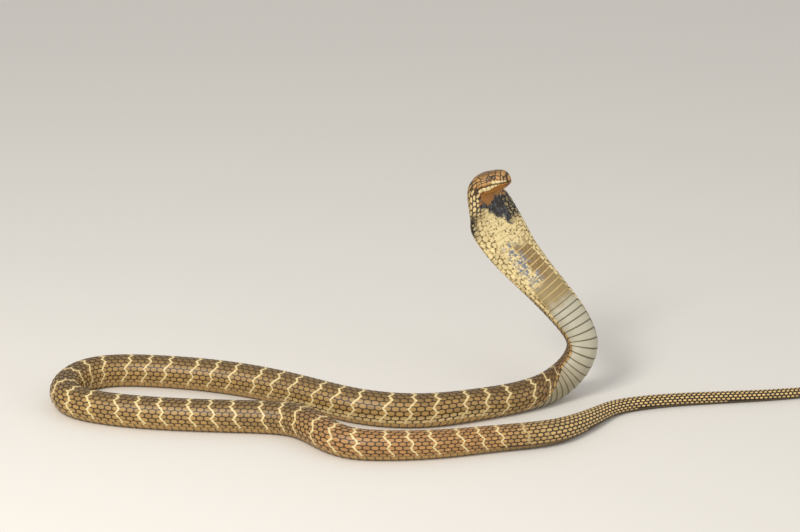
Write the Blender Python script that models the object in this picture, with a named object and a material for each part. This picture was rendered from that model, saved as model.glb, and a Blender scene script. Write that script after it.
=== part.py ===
"""A king cobra at life size, reared up with its narrow hood half spread and its body looped on the floor.

Metres, +Z up. The origin lies on the floor, in the middle of the animal's box. The camera that saw the
pose stood far off on the -Y side, so -Y is called the near side.
"""
import math

import bmesh
import bpy
import numpy as np
from mathutils import Matrix, Vector

MM = 0.001
GAP = 0.0003               # clearance between pieces that meet

# The route below is in millimetres and is moved by this much, to put the origin in the middle
ROUTE_MOVE = (4.4, -2.2, 0.0)

# The head, in millimetres behind the tip of the snout
SNOUT = (-25.5, 148.0, 386.0)       # tip of the snout
HEAD_TURN = 68.0                    # degrees that the face is turned to the right of the near side
HEAD_LIFT = 17.0                    # degrees that the snout points up
HEAD_STRAIGHT = 40.0                # length over which the head's axis runs straight
HEAD_STATIONS = (0.0, 1.2, 4.0, 8.0, 13.0, 19.0, 25.0, 32.0, 40.0)
HALF_WIDTH = ((0, 4.0), (1.2, 8.0), (4, 12.0), (8, 14.6), (13, 16.6), (19, 18.2), (25, 19.6), (32, 22.0),
              (40, 25.0))
CROWN = ((0, 6.0), (1.2, 12.0), (4, 16.4), (8, 19.6), (13, 21.8), (19, 23.2), (25, 24.0), (32, 24.0),
         (40, 23.5))
JAW = ((0, 3.0), (1.2, 5.4), (4, 7.8), (8, 9.8), (13, 11.2), (19, 12.6), (25, 14.0), (32, 15.6),
       (40, 17.5))
MOUTH_RISE = ((0, 0.0), (13, 1.2), (32, 2.6), (40, 2.0))
MOUTH_CORNER = 57.0                 # where the line of the mouth ends
MOUTH_FADE = 6.0                    # length over which its groove runs out there
DEGREE = 0.38                       # millimetres to a degree round the head
HALF_HEAD_HEIGHT = 25.0             # height of the crown over the middle line at the nape
NAPE_RADIUS = 22.0                  # radius of the middle line's bend at the nape
MOUTH_DEPTH = 1.4                   # depth of the groove between the lips
HEAD_FULLNESS = 0.86                # below 1 the section is squarer than an ellipse

# The eyes and nostrils
EYE_STATION = 23.5
EYE_ANGLE = 57.0                    # degrees down from the crown
EYE_RADIUS = 5.6
EYE_SINK = 4.5                      # how far the middle of the eye lies under the skin
NOSTRIL_STATION = 6.5
NOSTRIL_ANGLE = 60.0
NOSTRIL_RADIUS = 1.3
NOSTRIL_DEPTH = 2.4

# The rostral and mental plates at the tip of the snout, seen from the front: millimetres to the right
# and above the line of the mouth
ROSTRAL = ((7.0, 1.2), (7.6, 5.0), (5.2, 9.4), (0.0, 12.0), (-5.2, 9.4), (-7.6, 5.0), (-7.0, 1.2),
           (-2.6, 0.8), (0.0, 2.0), (2.6, 0.8))
MENTAL = ((6.0, -0.8), (2.4, -1.2), (0.0, -1.2), (-2.4, -1.2), (-6.0, -0.8), (-4.4, -4.6), (0.0, -6.4),
          (4.4, -4.6))
NOSE_REACH = 8.0                    # how far back the front of the snout is searched for such a point
NOSE_STEP = 0.1

# Head shields: how far each stands proud and how deep its root goes
SHIELD_RISE = 0.6
SHIELD_DOME = 0.3
SHIELD_ROOT = 1.6
SHIELD_FLAT = 0.62                  # share of a shield's breadth that its raised middle takes
SHIELD_SIDE = 8.0                   # longest side of a shield before a further corner is set

# The neck and hood: where the middle of each section is, which way its belly faces, its half width,
# its depth to the back and to the belly, and how thin its edges are (1 is an ellipse)
RAISED = (
    # x, y, z, belly x, belly y, belly z, half width, back, belly depth, edge
    (-61.6, 162.5, 376.2, 0.27, -0.11, -0.96, 25.0, 21.5, 19.5, 0.86),
    (-71.2, 166.6, 369.3, 0.71, -0.36, -0.60, 27.5, 23.5, 18.0, 0.88),
    (-74.7, 171.1, 357.9, 0.86, -0.44, -0.10, 35.0, 25.0, 16.5, 1.0),
    (-71.9, 173.2, 345.9, 0.79, -0.54, 0.30, 48.0, 22.5, 16.0, 1.2),
    (-60.0, 174.5, 321.0, 0.62, -0.69, 0.38, 57.0, 18.5, 14.0, 1.35),
    (-51.5, 172.0, 302.0, 0.56, -0.75, 0.37, 57.5, 17.5, 13.5, 1.35),
    (-39.0, 166.0, 281.0, 0.52, -0.78, 0.36, 55.0, 17.5, 13.5, 1.35),
    (-20.0, 158.0, 254.0, 0.48, -0.80, 0.36, 49.5, 18.0, 14.5, 1.30),
    (27.0, 136.0, 202.5, 0.36, -0.86, 0.38, 38.5, 21.5, 19.0, 1.12),
    (80.0, 108.0, 146.5, 0.18, -0.90, 0.40, 31.7, 26.0, 24.0, 1.0),
    (98.0, 96.0, 121.0, 0.18, -0.92, 0.36, 29.0, 27.5, 26.0, 1.0),
    (105.0, 88.0, 99.0, 0.25, -0.91, 0.30, 28.0, 27.5, 26.5, 1.0),
    (101.0, 81.0, 79.0, 0.38, -0.91, 0.09, 28.0, 27.5, 27.0, 1.0),
    (81.0, 73.0, 49.0, 0.42, -0.90, 0.04, 28.8, 28.5, 28.0, 1.0),
    (54.0, 58.0, 32.0, 0.58, -0.73, -0.36, 29.0, 29.0, 28.5, 1.0),
)
# The rest lies on the floor, belly down
LYING = (
    # x, y, radius
    (11.0, 28.0, 27.5),
    (-81.0, -18.0, 27.8),
    (-187.0, -50.0, 29.6),
    (-292.0, -33.0, 30.3),
    (-400.0, 32.0, 29.8),
    (-511.0, 91.0, 29.3),
    (-659.0, 130.0, 28.8),
    (-714.0, 135.0, 28.7),
    (-759.0, 130.0, 28.7),
    (-793.0, 111.0, 28.6),
    (-814.0, 75.0, 28.4),
    (-818.0, 39.0, 28.2),
    (-807.0, 7.0, 28.0),
    (-782.0, -17.0, 27.9),
    (-749.0, -33.0, 28.0),
    (-641.0, -59.0, 28.0),
    (-500.0, -72.0, 28.0),
    (-448.0, -77.0, 28.2),
    (-404.0, -91.0, 28.5),
    (-368.0, -124.0, 28.2),
    (-338.0, -159.0, 27.3),
    (-307.0, -180.0, 26.4),
    (-256.0, -188.0, 25.4),
    (-154.0, -179.0, 24.0),
    (-51.0, -153.0, 22.6),
    (45.0, -122.0, 21.4),
    (81.0, -91.0, 19.0),
    (120.0, -45.0, 15.8),
    (159.0, -3.0, 13.4),
    (205.0, 19.0, 12.4),
    (278.0, 37.0, 11.6),
    (424.0, 58.0, 10.3),
    (498.0, 72.0, 9.7),
    (580.0, 92.0, 8.7),
    (660.0, 108.0, 7.3),
    (730.0, 112.0, 5.7),
    (790.0, 102.0, 4.0),
    (838.0, 80.0, 1.6),
)
SAG = 0.94                          # height of the middle of the body over its radius, flattened by weight
BODY_WIDTH = 1.03                   # half width of the lying body over its radius

# Belly scutes of the raised part
SCUTE_PITCH = 12.0
SCUTE_RISE = 1.2
SCUTE_LAP = 0.8                     # length over which a scute's free edge steps back down
SCUTE_REACH = 62.0                  # degrees either side of the belly's midline, where the neck is round
SCUTE_HALF_WIDTH = 27.0             # and no wider than this across the hood
SCUTE_FADE = 8.0                    # degrees over which a scute's side runs out

# Rings
BODY_SIDES = 20
BODY_SPACING = 20.0
NECK_SIDES = 24
TAIL_SIDES = 14
TAIL_SPACING = 20.0
NAPE_RINGS = 5
HEAD_ANGLES = (0, 14, 28, 42, 56, 68, 79, 87.5, 90, 92.5, 101, 114, 128, 142, 156, 169)

# Where the head ends and then each length, in millimetres behind the tip of the snout along the animal
HEAD_END = 65.0
LENGTHS = (
    ("hood_upper", 140.0),
    ("hood_lower", 225.0),
    ("neck_upper", 332.0),
    ("neck_lower", 420.0),
    ("neck_base", 545.0),
    ("body_1", 760.0),
    ("body_2", 1000.0),
    ("body_3", 1250.0),
    ("body_4", 1385.0),
    ("body_5", 1480.0),
    ("body_6", 1580.0),
    ("body_7", 1800.0),
    ("body_8", 1960.0),
    ("body_9", 2070.0),
    ("body_10", 2290.0),
    ("body_11", 2500.0),
    ("tail_1", 2640.0),
    ("tail_2", 2850.0),
    ("tail_3", 3080.0),
    ("tail_4", 9999.0),             # to the tip
)

# Head shields as corners (millimetres behind the snout, degrees down from the crown), right side
PAIRED_SHIELDS = {
    "internasal": ((4.2, 3), (4.6, 44), (9.5, 50), (11.5, 26), (11.5, 2)),
    "prefrontal": ((12.5, 2), (12.5, 27), (10.6, 50), (17.0, 58), (20.5, 40), (20.0, 2)),
    "supraocular": ((21.5, 31), (18.5, 57), (21.0, 50), (27.0, 49), (30.5, 54), (32.5, 42), (31.0, 26)),
    "parietal": ((34.5, 2), (32.5, 25), (33.8, 42), (38.0, 54), (46.0, 52), (51.0, 38), (53.0, 2)),
    "occipital": ((54.2, 2), (52.3, 37), (56.0, 46), (63.0, 42), (67.0, 22), (66.0, 2)),
    "front_nasal": ((2.6, 54), (2.8, 74), (5.2, 75), (5.2, 52)),
    "rear_nasal": ((7.8, 54), (7.8, 75), (11.0, 74), (10.8, 56)),
    "preocular": ((12.0, 56), (12.0, 73), (16.5, 72), (17.8, 62)),
    "postocular_upper": ((30.8, 55), (30.0, 60), (34.0, 62), (36.5, 55), (33.8, 47)),
    "postocular_middle": ((29.8, 61.5), (29.3, 67), (33.8, 69), (34.4, 63.5)),
    "postocular_lower": ((29.0, 68.5), (27.2, 73), (33.5, 76), (34.0, 70.5)),
    "front_temporal_upper": ((38.2, 55.5), (35.4, 60), (36.0, 67), (44.5, 67), (46.4, 54)),
    "front_temporal_lower": ((35.2, 68.5), (35.0, 75.5), (43.5, 75.5), (44.5, 68.5)),
    "rear_temporal_upper": ((47.6, 53.5), (45.8, 67), (53.5, 66), (55.2, 48), (52.0, 40)),
    "rear_temporal_lower": ((45.8, 68.5), (44.8, 76), (53.0, 76), (54.0, 67.5)),
    "nape_upper": ((56.4, 48), (54.8, 65), (61.5, 62), (62.8, 45)),
    "nape_lower": ((55.2, 67), (54.2, 79), (61.0, 80), (62.2, 64)),
    "front_chin": ((9.5, 178), (8.0, 158), (14.0, 150), (20.5, 156), (21.0, 178)),
    "rear_chin": ((22.2, 178), (21.8, 157), (28.0, 152), (33.5, 162), (33.0, 178)),
}
FRONTAL = ((21.5, -21), (20.8, 0), (21.5, 21), (30.0, 21), (34.0, 0), (30.0, -21))
UPPER_LIPS = (3.2, 8.0, 13.4, 19.6, 26.6, 34.0, 43.0, 53.0)      # where each upper lip shield begins
UPPER_LIP_TOP = (77.0, 76.5, 74.5, 72.5, 75.0, 77.5, 78.0, 80.0)
LOWER_LIPS = (3.4, 8.4, 13.4, 19.0, 25.0, 31.4, 38.6, 46.0, 54.0)
LOWER_LIP_FOOT = (104.0, 108.0, 110.0, 111.0, 111.0, 110.0, 108.0, 106.0, 103.0)
LIP_EDGE = 3.2                      # degrees from the mouth line to the edge of the lip shields
LIP_SEAM = 0.7                      # gap between lip shields

COLOURS = {
    "head": (0.36, 0.22, 0.13, 1.0),
    "eye": (0.02, 0.015, 0.01, 1.0),
    "hood": (0.55, 0.47, 0.30, 1.0),
    "neck": (0.36, 0.33, 0.27, 1.0),
    "body": (0.22, 0.16, 0.075, 1.0),
    "tail": (0.07, 0.05, 0.035, 1.0),
}
ROUGHNESS = {"head": 0.45, "eye": 0.08, "hood": 0.5, "neck": 0.45, "body": 0.42, "tail": 0.42}


def clear_scene():
    for item in list(bpy.data.objects):
        bpy.data.objects.remove(item, do_unlink=True)


def profile(keys, at):
    return float(np.interp(at, [key[0] for key in keys], [key[1] for key in keys]))


def natural_spline(knots, values, start_slope):
    """Second derivatives of a cubic spline with a given slope at its start and a free end."""
    count = len(knots)
    step = np.diff(knots)
    rise = np.diff(values, axis=0) / step[:, None]
    matrix = np.zeros((count, count))
    right = np.zeros_like(values)
    matrix[0, 0] = 2.0 * step[0]
    matrix[0, 1] = step[0]
    right[0] = 6.0 * (rise[0] - start_slope)
    for i in range(1, count - 1):
        matrix[i, i - 1] = step[i - 1]
        matrix[i, i] = 2.0 * (step[i - 1] + step[i])
        matrix[i, i + 1] = step[i]
        right[i] = 6.0 * (rise[i] - rise[i - 1])
    matrix[-1, -1] = 1.0
    return np.linalg.solve(matrix, right)


class Spine:
    """The animal's middle line with its sections, measured in millimetres from the tip of the snout."""

    def __init__(self):
        turn = math.radians(HEAD_TURN)
        lift = math.radians(HEAD_LIFT)
        self.face = Vector((math.sin(turn) * math.cos(lift), -math.cos(turn) * math.cos(lift),
                            math.sin(lift)))
        self.face_right = Vector((-math.cos(turn), -math.sin(turn), 0.0))
        self.crown = self.face_right.cross(self.face)
        self.snout = Vector(SNOUT) + Vector(ROUTE_MOVE)
        rows = list(RAISED)
        for x, y, radius in LYING:
            rows.append((x, y, SAG * radius, 0.0, 0.0, -1.0, BODY_WIDTH * radius, radius, radius, 1.0))
        self.values = np.array(rows)
        self.values[:, :3] += ROUTE_MOVE
        steps = np.linalg.norm(np.diff(self.values[:, :3], axis=0), axis=1)
        self.knots = HEAD_STRAIGHT + np.concatenate(([0.0], np.cumsum(steps)))
        slope = (self.values[1] - self.values[0]) / steps[0]
        slope[:3] = -self.face
        self.curve = natural_spline(self.knots, self.values, slope)
        self.length = float(self.knots[-1])
        self.lying_from = float(self.knots[len(RAISED)])

    def row(self, at):
        """Every column of the table at one place, and its slope."""
        at = min(max(at, self.knots[0]), self.length)
        i = min(int(np.searchsorted(self.knots, at, side="right")) - 1, len(self.knots) - 2)
        step = self.knots[i + 1] - self.knots[i]
        t = (at - self.knots[i]) / step
        low, high = self.values[i], self.values[i + 1]
        bend_low, bend_high = self.curve[i], self.curve[i + 1]
        value = ((1 - t) * low + t * high
                 + step ** 2 / 6 * (((1 - t) ** 3 - (1 - t)) * bend_low + (t ** 3 - t) * bend_high))
        slope = ((high - low) / step
                 + step / 6 * ((1 - 3 * (1 - t) ** 2) * bend_low + (3 * t ** 2 - 1) * bend_high))
        return value, slope

    def frame(self, at):
        """Middle, forward, right and up directions, then half width, back, belly depth and edge."""
        if at <= HEAD_STRAIGHT:
            rise = profile(MOUTH_RISE, at)
            middle = self.snout - self.face * at + self.crown * rise
            size = (profile(HALF_WIDTH, at), profile(CROWN, at) - rise, profile(JAW, at) + rise,
                    HEAD_FULLNESS)
            return middle, self.face, self.face_right, self.crown, size
        value, slope = self.row(at)
        middle = Vector(value[:3])
        forward = -Vector(slope[:3]).normalized()
        if at > self.lying_from:
            middle.z = SAG * value[7]
            forward = Vector((forward.x, forward.y, 0.0)).normalized()
        belly = Vector(value[3:6])
        up = -(belly - forward * belly.dot(forward)).normalized()
        right = forward.cross(up)
        return middle, forward, right, up, tuple(value[6:10])

    def point(self, at, angle, proud=0.0):
        """A point of the skin: angle in degrees down from the crown, right side positive."""
        middle, forward, right, up, (width, back, depth, edge) = self.frame(at)
        turn = math.radians(angle)
        side = math.sin(turn)
        height = math.cos(turn)
        across = width * math.copysign(abs(side) ** min(edge, 1.0), side)
        upward = (back if height > 0 else depth) * math.copysign(abs(height) ** edge, height)
        if proud:
            outward = Vector((across / width ** 2, upward / (back if height > 0 else depth) ** 2))
            outward.normalize()
            across += outward.x * proud
            upward += outward.y * proud
        spot = middle + right * across + up * upward
        spot.z = max(spot.z, 0.0)
        return spot


def material(name, kind):
    shade = bpy.data.materials.new(name)
    shade.use_nodes = True
    principled = shade.node_tree.nodes["Principled BSDF"]
    principled.inputs["Base Color"].default_value = COLOURS[kind]
    principled.inputs["Roughness"].default_value = ROUGHNESS[kind]
    principled.inputs["Metallic"].default_value = 0.0
    return shade


def new_object(name, bm, kind):
    mesh = bpy.data.meshes.new(name)
    bm.to_mesh(mesh)
    bm.free()
    mesh.materials.append(material(name + "_skin", kind))
    item = bpy.data.objects.new(name, mesh)
    bpy.context.scene.collection.objects.link(item)
    mesh.shade_smooth()
    mesh.set_sharp_from_angle(angle=math.radians(40.0))
    return item


def loft(rings):
    """A closed body through rings of points given in millimetres."""
    bm = bmesh.new()
    loops = [[bm.verts.new(spot * MM) for spot in ring] for ring in rings]
    count = len(loops[0])
    for first, second in zip(loops, loops[1:]):
        for i in range(count):
            j = (i + 1) % count
            bm.faces.new((first[i], first[j], second[j], second[i]))
    bm.faces.new(loops[0])
    bm.faces.new(loops[-1])
    bmesh.ops.remove_doubles(bm, verts=bm.verts, dist=1e-6)
    bmesh.ops.triangulate(bm, faces=bm.faces)
    bmesh.ops.recalc_face_normals(bm, faces=bm.faces)
    return bm


def ring_angles(sides):
    return [360.0 * i / sides for i in range(sides)]


def plain_ring(spine, at, sides):
    return [spine.point(at, angle) for angle in ring_angles(sides)]


def scute_ring(spine, at, rise):
    """A ring of the raised part whose belly stands proud by rise."""
    width = spine.frame(at)[4][0]
    reach = min(SCUTE_REACH, math.degrees(math.asin(min(1.0, SCUTE_HALF_WIDTH / width))) + SCUTE_FADE)
    spots = []
    for angle in ring_angles(NECK_SIDES):
        off_belly = abs(angle - 180.0)
        share = min(max((reach - off_belly) / SCUTE_FADE, 0.0), 1.0)
        spots.append(spine.point(at, angle, rise * share))
    return spots


def shifted(ring, direction, distance):
    return [spot + direction * distance for spot in ring]


def open_ends(spine, rings, start, end):
    """Draw the end rings back by half a gap each."""
    half = GAP / MM / 2.0
    rings[0] = shifted(rings[0], spine.frame(start)[1], -half)
    rings[-1] = shifted(rings[-1], spine.frame(end)[1], half)
    return rings


def make_raised_length(spine, name, start, end, kind):
    """A length of hood or neck with its belly scutes as low steps, each lapping over the next."""
    count = round((end - start) / SCUTE_PITCH)
    pitch = (end - start) / count
    steps = 2 if kind == "hood" else 1
    rings = []
    for i in range(count):
        front = start + i * pitch + (SCUTE_LAP if i else 0.0)
        back = start + (i + 1) * pitch
        for k in range(steps + 1):
            share = k / steps
            rings.append(scute_ring(spine, front + (back - front) * share, SCUTE_RISE * share))
    return new_object(name, loft(open_ends(spine, rings, start, end)), kind)


def make_lying_length(spine, name, start, end, kind, sides, spacing):
    count = max(2, round((end - start) / spacing))
    places = [start + (end - start) * i / count for i in range(count + 1)]
    rings = [plain_ring(spine, at, sides) for at in places]
    return new_object(name, loft(open_ends(spine, rings, start, end)), kind)


def head_angles():
    right = [float(angle) for angle in HEAD_ANGLES]
    left = [360.0 - angle for angle in reversed(HEAD_ANGLES[1:])]
    return right + [180.0] + left


def head_ring(spine, at):
    """A ring of the head, drawn in along the line of the mouth."""
    fade = min(max((MOUTH_CORNER - at) / MOUTH_FADE, 0.0), 1.0)
    spots = []
    for angle in head_angles():
        in_mouth = angle in (90.0, 270.0)
        spots.append(spine.point(at, angle, -MOUTH_DEPTH * fade if in_mouth and at > 0 else 0.0))
    return spots


def head_core(spine, end):
    stations = list(HEAD_STATIONS)
    stations += [HEAD_STRAIGHT + (end - HEAD_STRAIGHT) * i / NAPE_RINGS for i in range(1, NAPE_RINGS + 1)]
    rings = [head_ring(spine, at) for at in stations]
    rings[-1] = shifted(rings[-1], spine.frame(end)[1], GAP / MM / 2.0)
    return loft(rings)


def along(distance, angle):
    """The place on the spine for a distance measured over the skin, which runs round the nape."""
    if distance <= HEAD_STRAIGHT:
        return distance
    height = HALF_HEAD_HEIGHT * math.cos(math.radians(angle))
    return HEAD_STRAIGHT + (distance - HEAD_STRAIGHT) * NAPE_RADIUS / (NAPE_RADIUS + height)


def outline(corners, longest):
    """The corners of a shield with further points along its long sides."""
    spots = []
    for i, (at, angle) in enumerate(corners):
        next_at, next_angle = corners[(i + 1) % len(corners)]
        length = math.hypot(next_at - at, (next_angle - angle) * DEGREE)
        parts = max(1, math.ceil(length / longest))
        for k in range(parts):
            share = k / parts
            spots.append((at + (next_at - at) * share, angle + (next_angle - angle) * share))
    return spots


def shield(spine, corners, rise=SHIELD_RISE):
    """One raised plate: a domed top over a rim, with its root sunk under the skin."""
    rim = outline(corners, SHIELD_SIDE)
    middle = (sum(spot[0] for spot in rim) / len(rim), sum(spot[1] for spot in rim) / len(rim))
    inner = [(middle[0] + (at - middle[0]) * SHIELD_FLAT, middle[1] + (angle - middle[1]) * SHIELD_FLAT)
             for at, angle in rim]
    bm = bmesh.new()

    def vertex(spot, proud):
        return bm.verts.new(spine.point(along(*spot), spot[1], proud) * MM)

    top = vertex(middle, rise + SHIELD_DOME)
    root = vertex(middle, -SHIELD_ROOT)
    high = [vertex(spot, rise + SHIELD_DOME * 0.8) for spot in inner]
    upper = [vertex(spot, rise) for spot in rim]
    lower = [vertex(spot, -SHIELD_ROOT) for spot in rim]
    for i in range(len(rim)):
        j = (i + 1) % len(rim)
        bm.faces.new((top, high[i], high[j]))
        bm.faces.new((high[i], upper[i], upper[j], high[j]))
        bm.faces.new((upper[i], lower[i], lower[j], upper[j]))
        bm.faces.new((root, lower[j], lower[i]))
    bmesh.ops.triangulate(bm, faces=bm.faces)
    bmesh.ops.recalc_face_normals(bm, faces=bm.faces)
    return bm


def mirrored(corners):
    return tuple((at, -angle) for at, angle in corners)


def lip_shields():
    """Corners of the shields that edge the mouth, right side."""
    plates = []
    upper_edge = 90.0 - LIP_EDGE
    for i in range(len(UPPER_LIPS) - 1):
        start, end = UPPER_LIPS[i], UPPER_LIPS[i + 1] - LIP_SEAM
        plates.append(((start, UPPER_LIP_TOP[i]), (start, upper_edge), (end, upper_edge),
                       (end, UPPER_LIP_TOP[i + 1])))
    lower_edge = 90.0 + LIP_EDGE
    for i in range(len(LOWER_LIPS) - 1):
        start, end = LOWER_LIPS[i], LOWER_LIPS[i + 1] - LIP_SEAM
        plates.append(((start, LOWER_LIP_FOOT[i]), (start, lower_edge), (end, lower_edge),
                       (end, LOWER_LIP_FOOT[i + 1])))
    return plates


def head_shields(spine):
    plates = [FRONTAL]
    for corners in list(PAIRED_SHIELDS.values()) + lip_shields():
        plates += [corners, mirrored(corners)]
    return [shield(spine, corners) for corners in plates]


def on_snout(spine, across, height, proud):
    """The point of the snout's front that shows at a place across and above the mouth's line."""
    at = 0.0
    while at < NOSE_REACH:
        width, back, depth, _ = spine.frame(at)[4]
        if math.hypot(across / width, height / (back if height > 0 else depth)) < 1.0:
            break
        at += NOSE_STEP
    upward = height + profile(MOUTH_RISE, at)
    return spine.snout - spine.face * (at - proud) + spine.face_right * across + spine.crown * upward


def nose_plate(spine, corners):
    """A raised plate on the front of the snout, domed over its rim, with its root sunk."""
    bm = bmesh.new()
    high = sum(spot[1] for spot in corners) / len(corners)

    def vertex(across, height, proud):
        return bm.verts.new(on_snout(spine, across, height, proud) * MM)

    top = vertex(0.0, high, SHIELD_RISE + SHIELD_DOME)
    root = vertex(0.0, high, -SHIELD_ROOT)
    upper = [vertex(across, height, SHIELD_RISE) for across, height in corners]
    lower = [vertex(across, height, -SHIELD_ROOT) for across, height in corners]
    for i in range(len(corners)):
        j = (i + 1) % len(corners)
        bm.faces.new((top, upper[i], upper[j]))
        bm.faces.new((upper[i], lower[i], lower[j], upper[j]))
        bm.faces.new((root, lower[j], lower[i]))
    bmesh.ops.triangulate(bm, faces=bm.faces)
    bmesh.ops.recalc_face_normals(bm, faces=bm.faces)
    return bm


def eye_middle(spine, side):
    return spine.point(EYE_STATION, side * EYE_ANGLE, -EYE_SINK)


def make_ball(middle, radius, fine):
    bm = bmesh.new()
    bmesh.ops.create_icosphere(bm, subdivisions=fine, radius=radius * MM)
    bmesh.ops.translate(bm, vec=middle * MM, verts=bm.verts)
    return bm


def nostril_cutter(spine, side):
    outside = spine.point(NOSTRIL_STATION, side * NOSTRIL_ANGLE, 1.5)
    inside = spine.point(NOSTRIL_STATION, side * NOSTRIL_ANGLE, -NOSTRIL_DEPTH)
    axis = outside - inside
    bm = bmesh.new()
    bmesh.ops.create_cone(bm, cap_ends=True, segments=8, radius1=0.5 * NOSTRIL_RADIUS * MM,
                          radius2=1.3 * NOSTRIL_RADIUS * MM, depth=axis.length * MM)
    turn = axis.to_track_quat("Z", "Y").to_matrix().to_4x4()
    bmesh.ops.transform(bm, matrix=Matrix.Translation((outside + inside) / 2.0 * MM) @ turn,
                        verts=bm.verts)
    return bm


def collect(name, meshes):
    group = bpy.data.collections.new(name)
    bpy.context.scene.collection.children.link(group)
    for i, bm in enumerate(meshes):
        mesh = bpy.data.meshes.new(name)
        bm.to_mesh(mesh)
        bm.free()
        group.objects.link(bpy.data.objects.new(f"{name}_{i}", mesh))
    return group


def combine(item, operation, group):
    """Apply one Boolean with every object of a collection, then remove them."""
    change = item.modifiers.new("combine", "BOOLEAN")
    change.operation = operation
    change.operand_type = "COLLECTION"
    change.solver = "MANIFOLD"
    change.collection = group
    graph = bpy.context.evaluated_depsgraph_get()
    mesh = bpy.data.meshes.new_from_object(item.evaluated_get(graph))
    item.modifiers.clear()
    item.data = mesh
    for other in list(group.objects):
        bpy.data.objects.remove(other, do_unlink=True)
    bpy.data.collections.remove(group)


def keep_largest(item):
    """Keep only the largest closed surface of a mesh."""
    bm = bmesh.new()
    bm.from_mesh(item.data)
    left = set(bm.verts)
    parts = []
    while left:
        first = left.pop()
        island, queue = {first}, [first]
        while queue:
            for edge in queue.pop().link_edges:
                for vert in edge.verts:
                    if vert not in island:
                        island.add(vert)
                        queue.append(vert)
        left -= island
        parts.append(island)
    parts.sort(key=len, reverse=True)
    for island in parts[1:]:
        bmesh.ops.delete(bm, geom=list(island), context="VERTS")
    bmesh.ops.triangulate(bm, faces=bm.faces)
    bm.to_mesh(item.data)
    bm.free()


def make_head(spine):
    head = new_object("head", head_core(spine, HEAD_END), "head")
    plates = head_shields(spine) + [nose_plate(spine, ROSTRAL), nose_plate(spine, MENTAL)]
    combine(head, "UNION", collect("shields", plates))
    cutters = []
    for side in (1.0, -1.0):
        cutters.append(make_ball(eye_middle(spine, side), EYE_RADIUS + GAP / MM, 3))
        cutters.append(nostril_cutter(spine, side))
    combine(head, "DIFFERENCE", collect("hollows", cutters))
    keep_largest(head)
    head.data.shade_smooth()
    head.data.set_sharp_from_angle(angle=math.radians(40.0))


def make_eyes(spine):
    for name, side in (("eye_right", 1.0), ("eye_left", -1.0)):
        new_object(name, make_ball(eye_middle(spine, side), EYE_RADIUS, 3), "eye")


def make_lengths(spine):
    start = HEAD_END
    for name, end in LENGTHS:
        end = min(end, spine.length)
        kind = name.split("_")[0]
        if kind in ("hood", "neck"):
            make_raised_length(spine, name, start, end, kind)
        elif kind == "body":
            make_lying_length(spine, name, start, end, kind, BODY_SIDES, BODY_SPACING)
        else:
            make_lying_length(spine, name, start, end, kind, TAIL_SIDES, TAIL_SPACING)
        start = end


def main():
    clear_scene()
    spine = Spine()
    make_head(spine)
    make_eyes(spine)
    make_lengths(spine)


main()
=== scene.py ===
"""A king cobra at life size, reared up with its narrow hood half spread: the looks of the model.

The file is laid out as an add-on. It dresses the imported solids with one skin, belly scutes, back scales,
head shields and eyes. Lengths inside the script are millimetres along the animal, measured from the tip
of the snout, and become metres when a mesh is made. Angles are degrees down from the crown or the middle
of the back, right side positive.
"""

import math

import bmesh
import bpy
import numpy as np
from bpy.props import FloatProperty, FloatVectorProperty, PointerProperty
from bpy.types import Operator, Panel, PropertyGroup
from mathutils import Matrix, Vector


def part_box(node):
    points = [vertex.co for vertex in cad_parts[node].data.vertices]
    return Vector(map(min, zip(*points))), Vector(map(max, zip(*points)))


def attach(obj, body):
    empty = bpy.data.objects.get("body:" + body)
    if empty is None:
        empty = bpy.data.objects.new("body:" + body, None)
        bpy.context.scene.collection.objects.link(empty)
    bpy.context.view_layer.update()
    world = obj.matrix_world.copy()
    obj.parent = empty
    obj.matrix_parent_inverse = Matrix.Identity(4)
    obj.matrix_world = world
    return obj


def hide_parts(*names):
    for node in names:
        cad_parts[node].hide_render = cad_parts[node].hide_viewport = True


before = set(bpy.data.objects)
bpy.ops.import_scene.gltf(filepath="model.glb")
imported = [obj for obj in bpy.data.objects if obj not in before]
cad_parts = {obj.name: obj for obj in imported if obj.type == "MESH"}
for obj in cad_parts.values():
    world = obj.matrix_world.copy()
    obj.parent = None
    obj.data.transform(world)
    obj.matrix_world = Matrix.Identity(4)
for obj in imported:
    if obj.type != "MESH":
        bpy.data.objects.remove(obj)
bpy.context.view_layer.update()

bl_info = {
    "name": "King cobra",
    "version": (1, 0, 0),
    "blender": (4, 5, 0),
    "location": "3D View > Sidebar > Cobra",
    "description": "Skin, scales, scutes, shields and eyes of a reared king cobra",
    "category": "Object",
}

MM = 0.001
BODY = "root"
EYES = {"eye_right": 1.0, "eye_left": -1.0}
MARKS = ("Behind", "Turn", "Across", "Girth", "Lane", "Rim", "Seed")    # what the markings are drawn from
FLESH = [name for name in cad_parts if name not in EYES]

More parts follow.
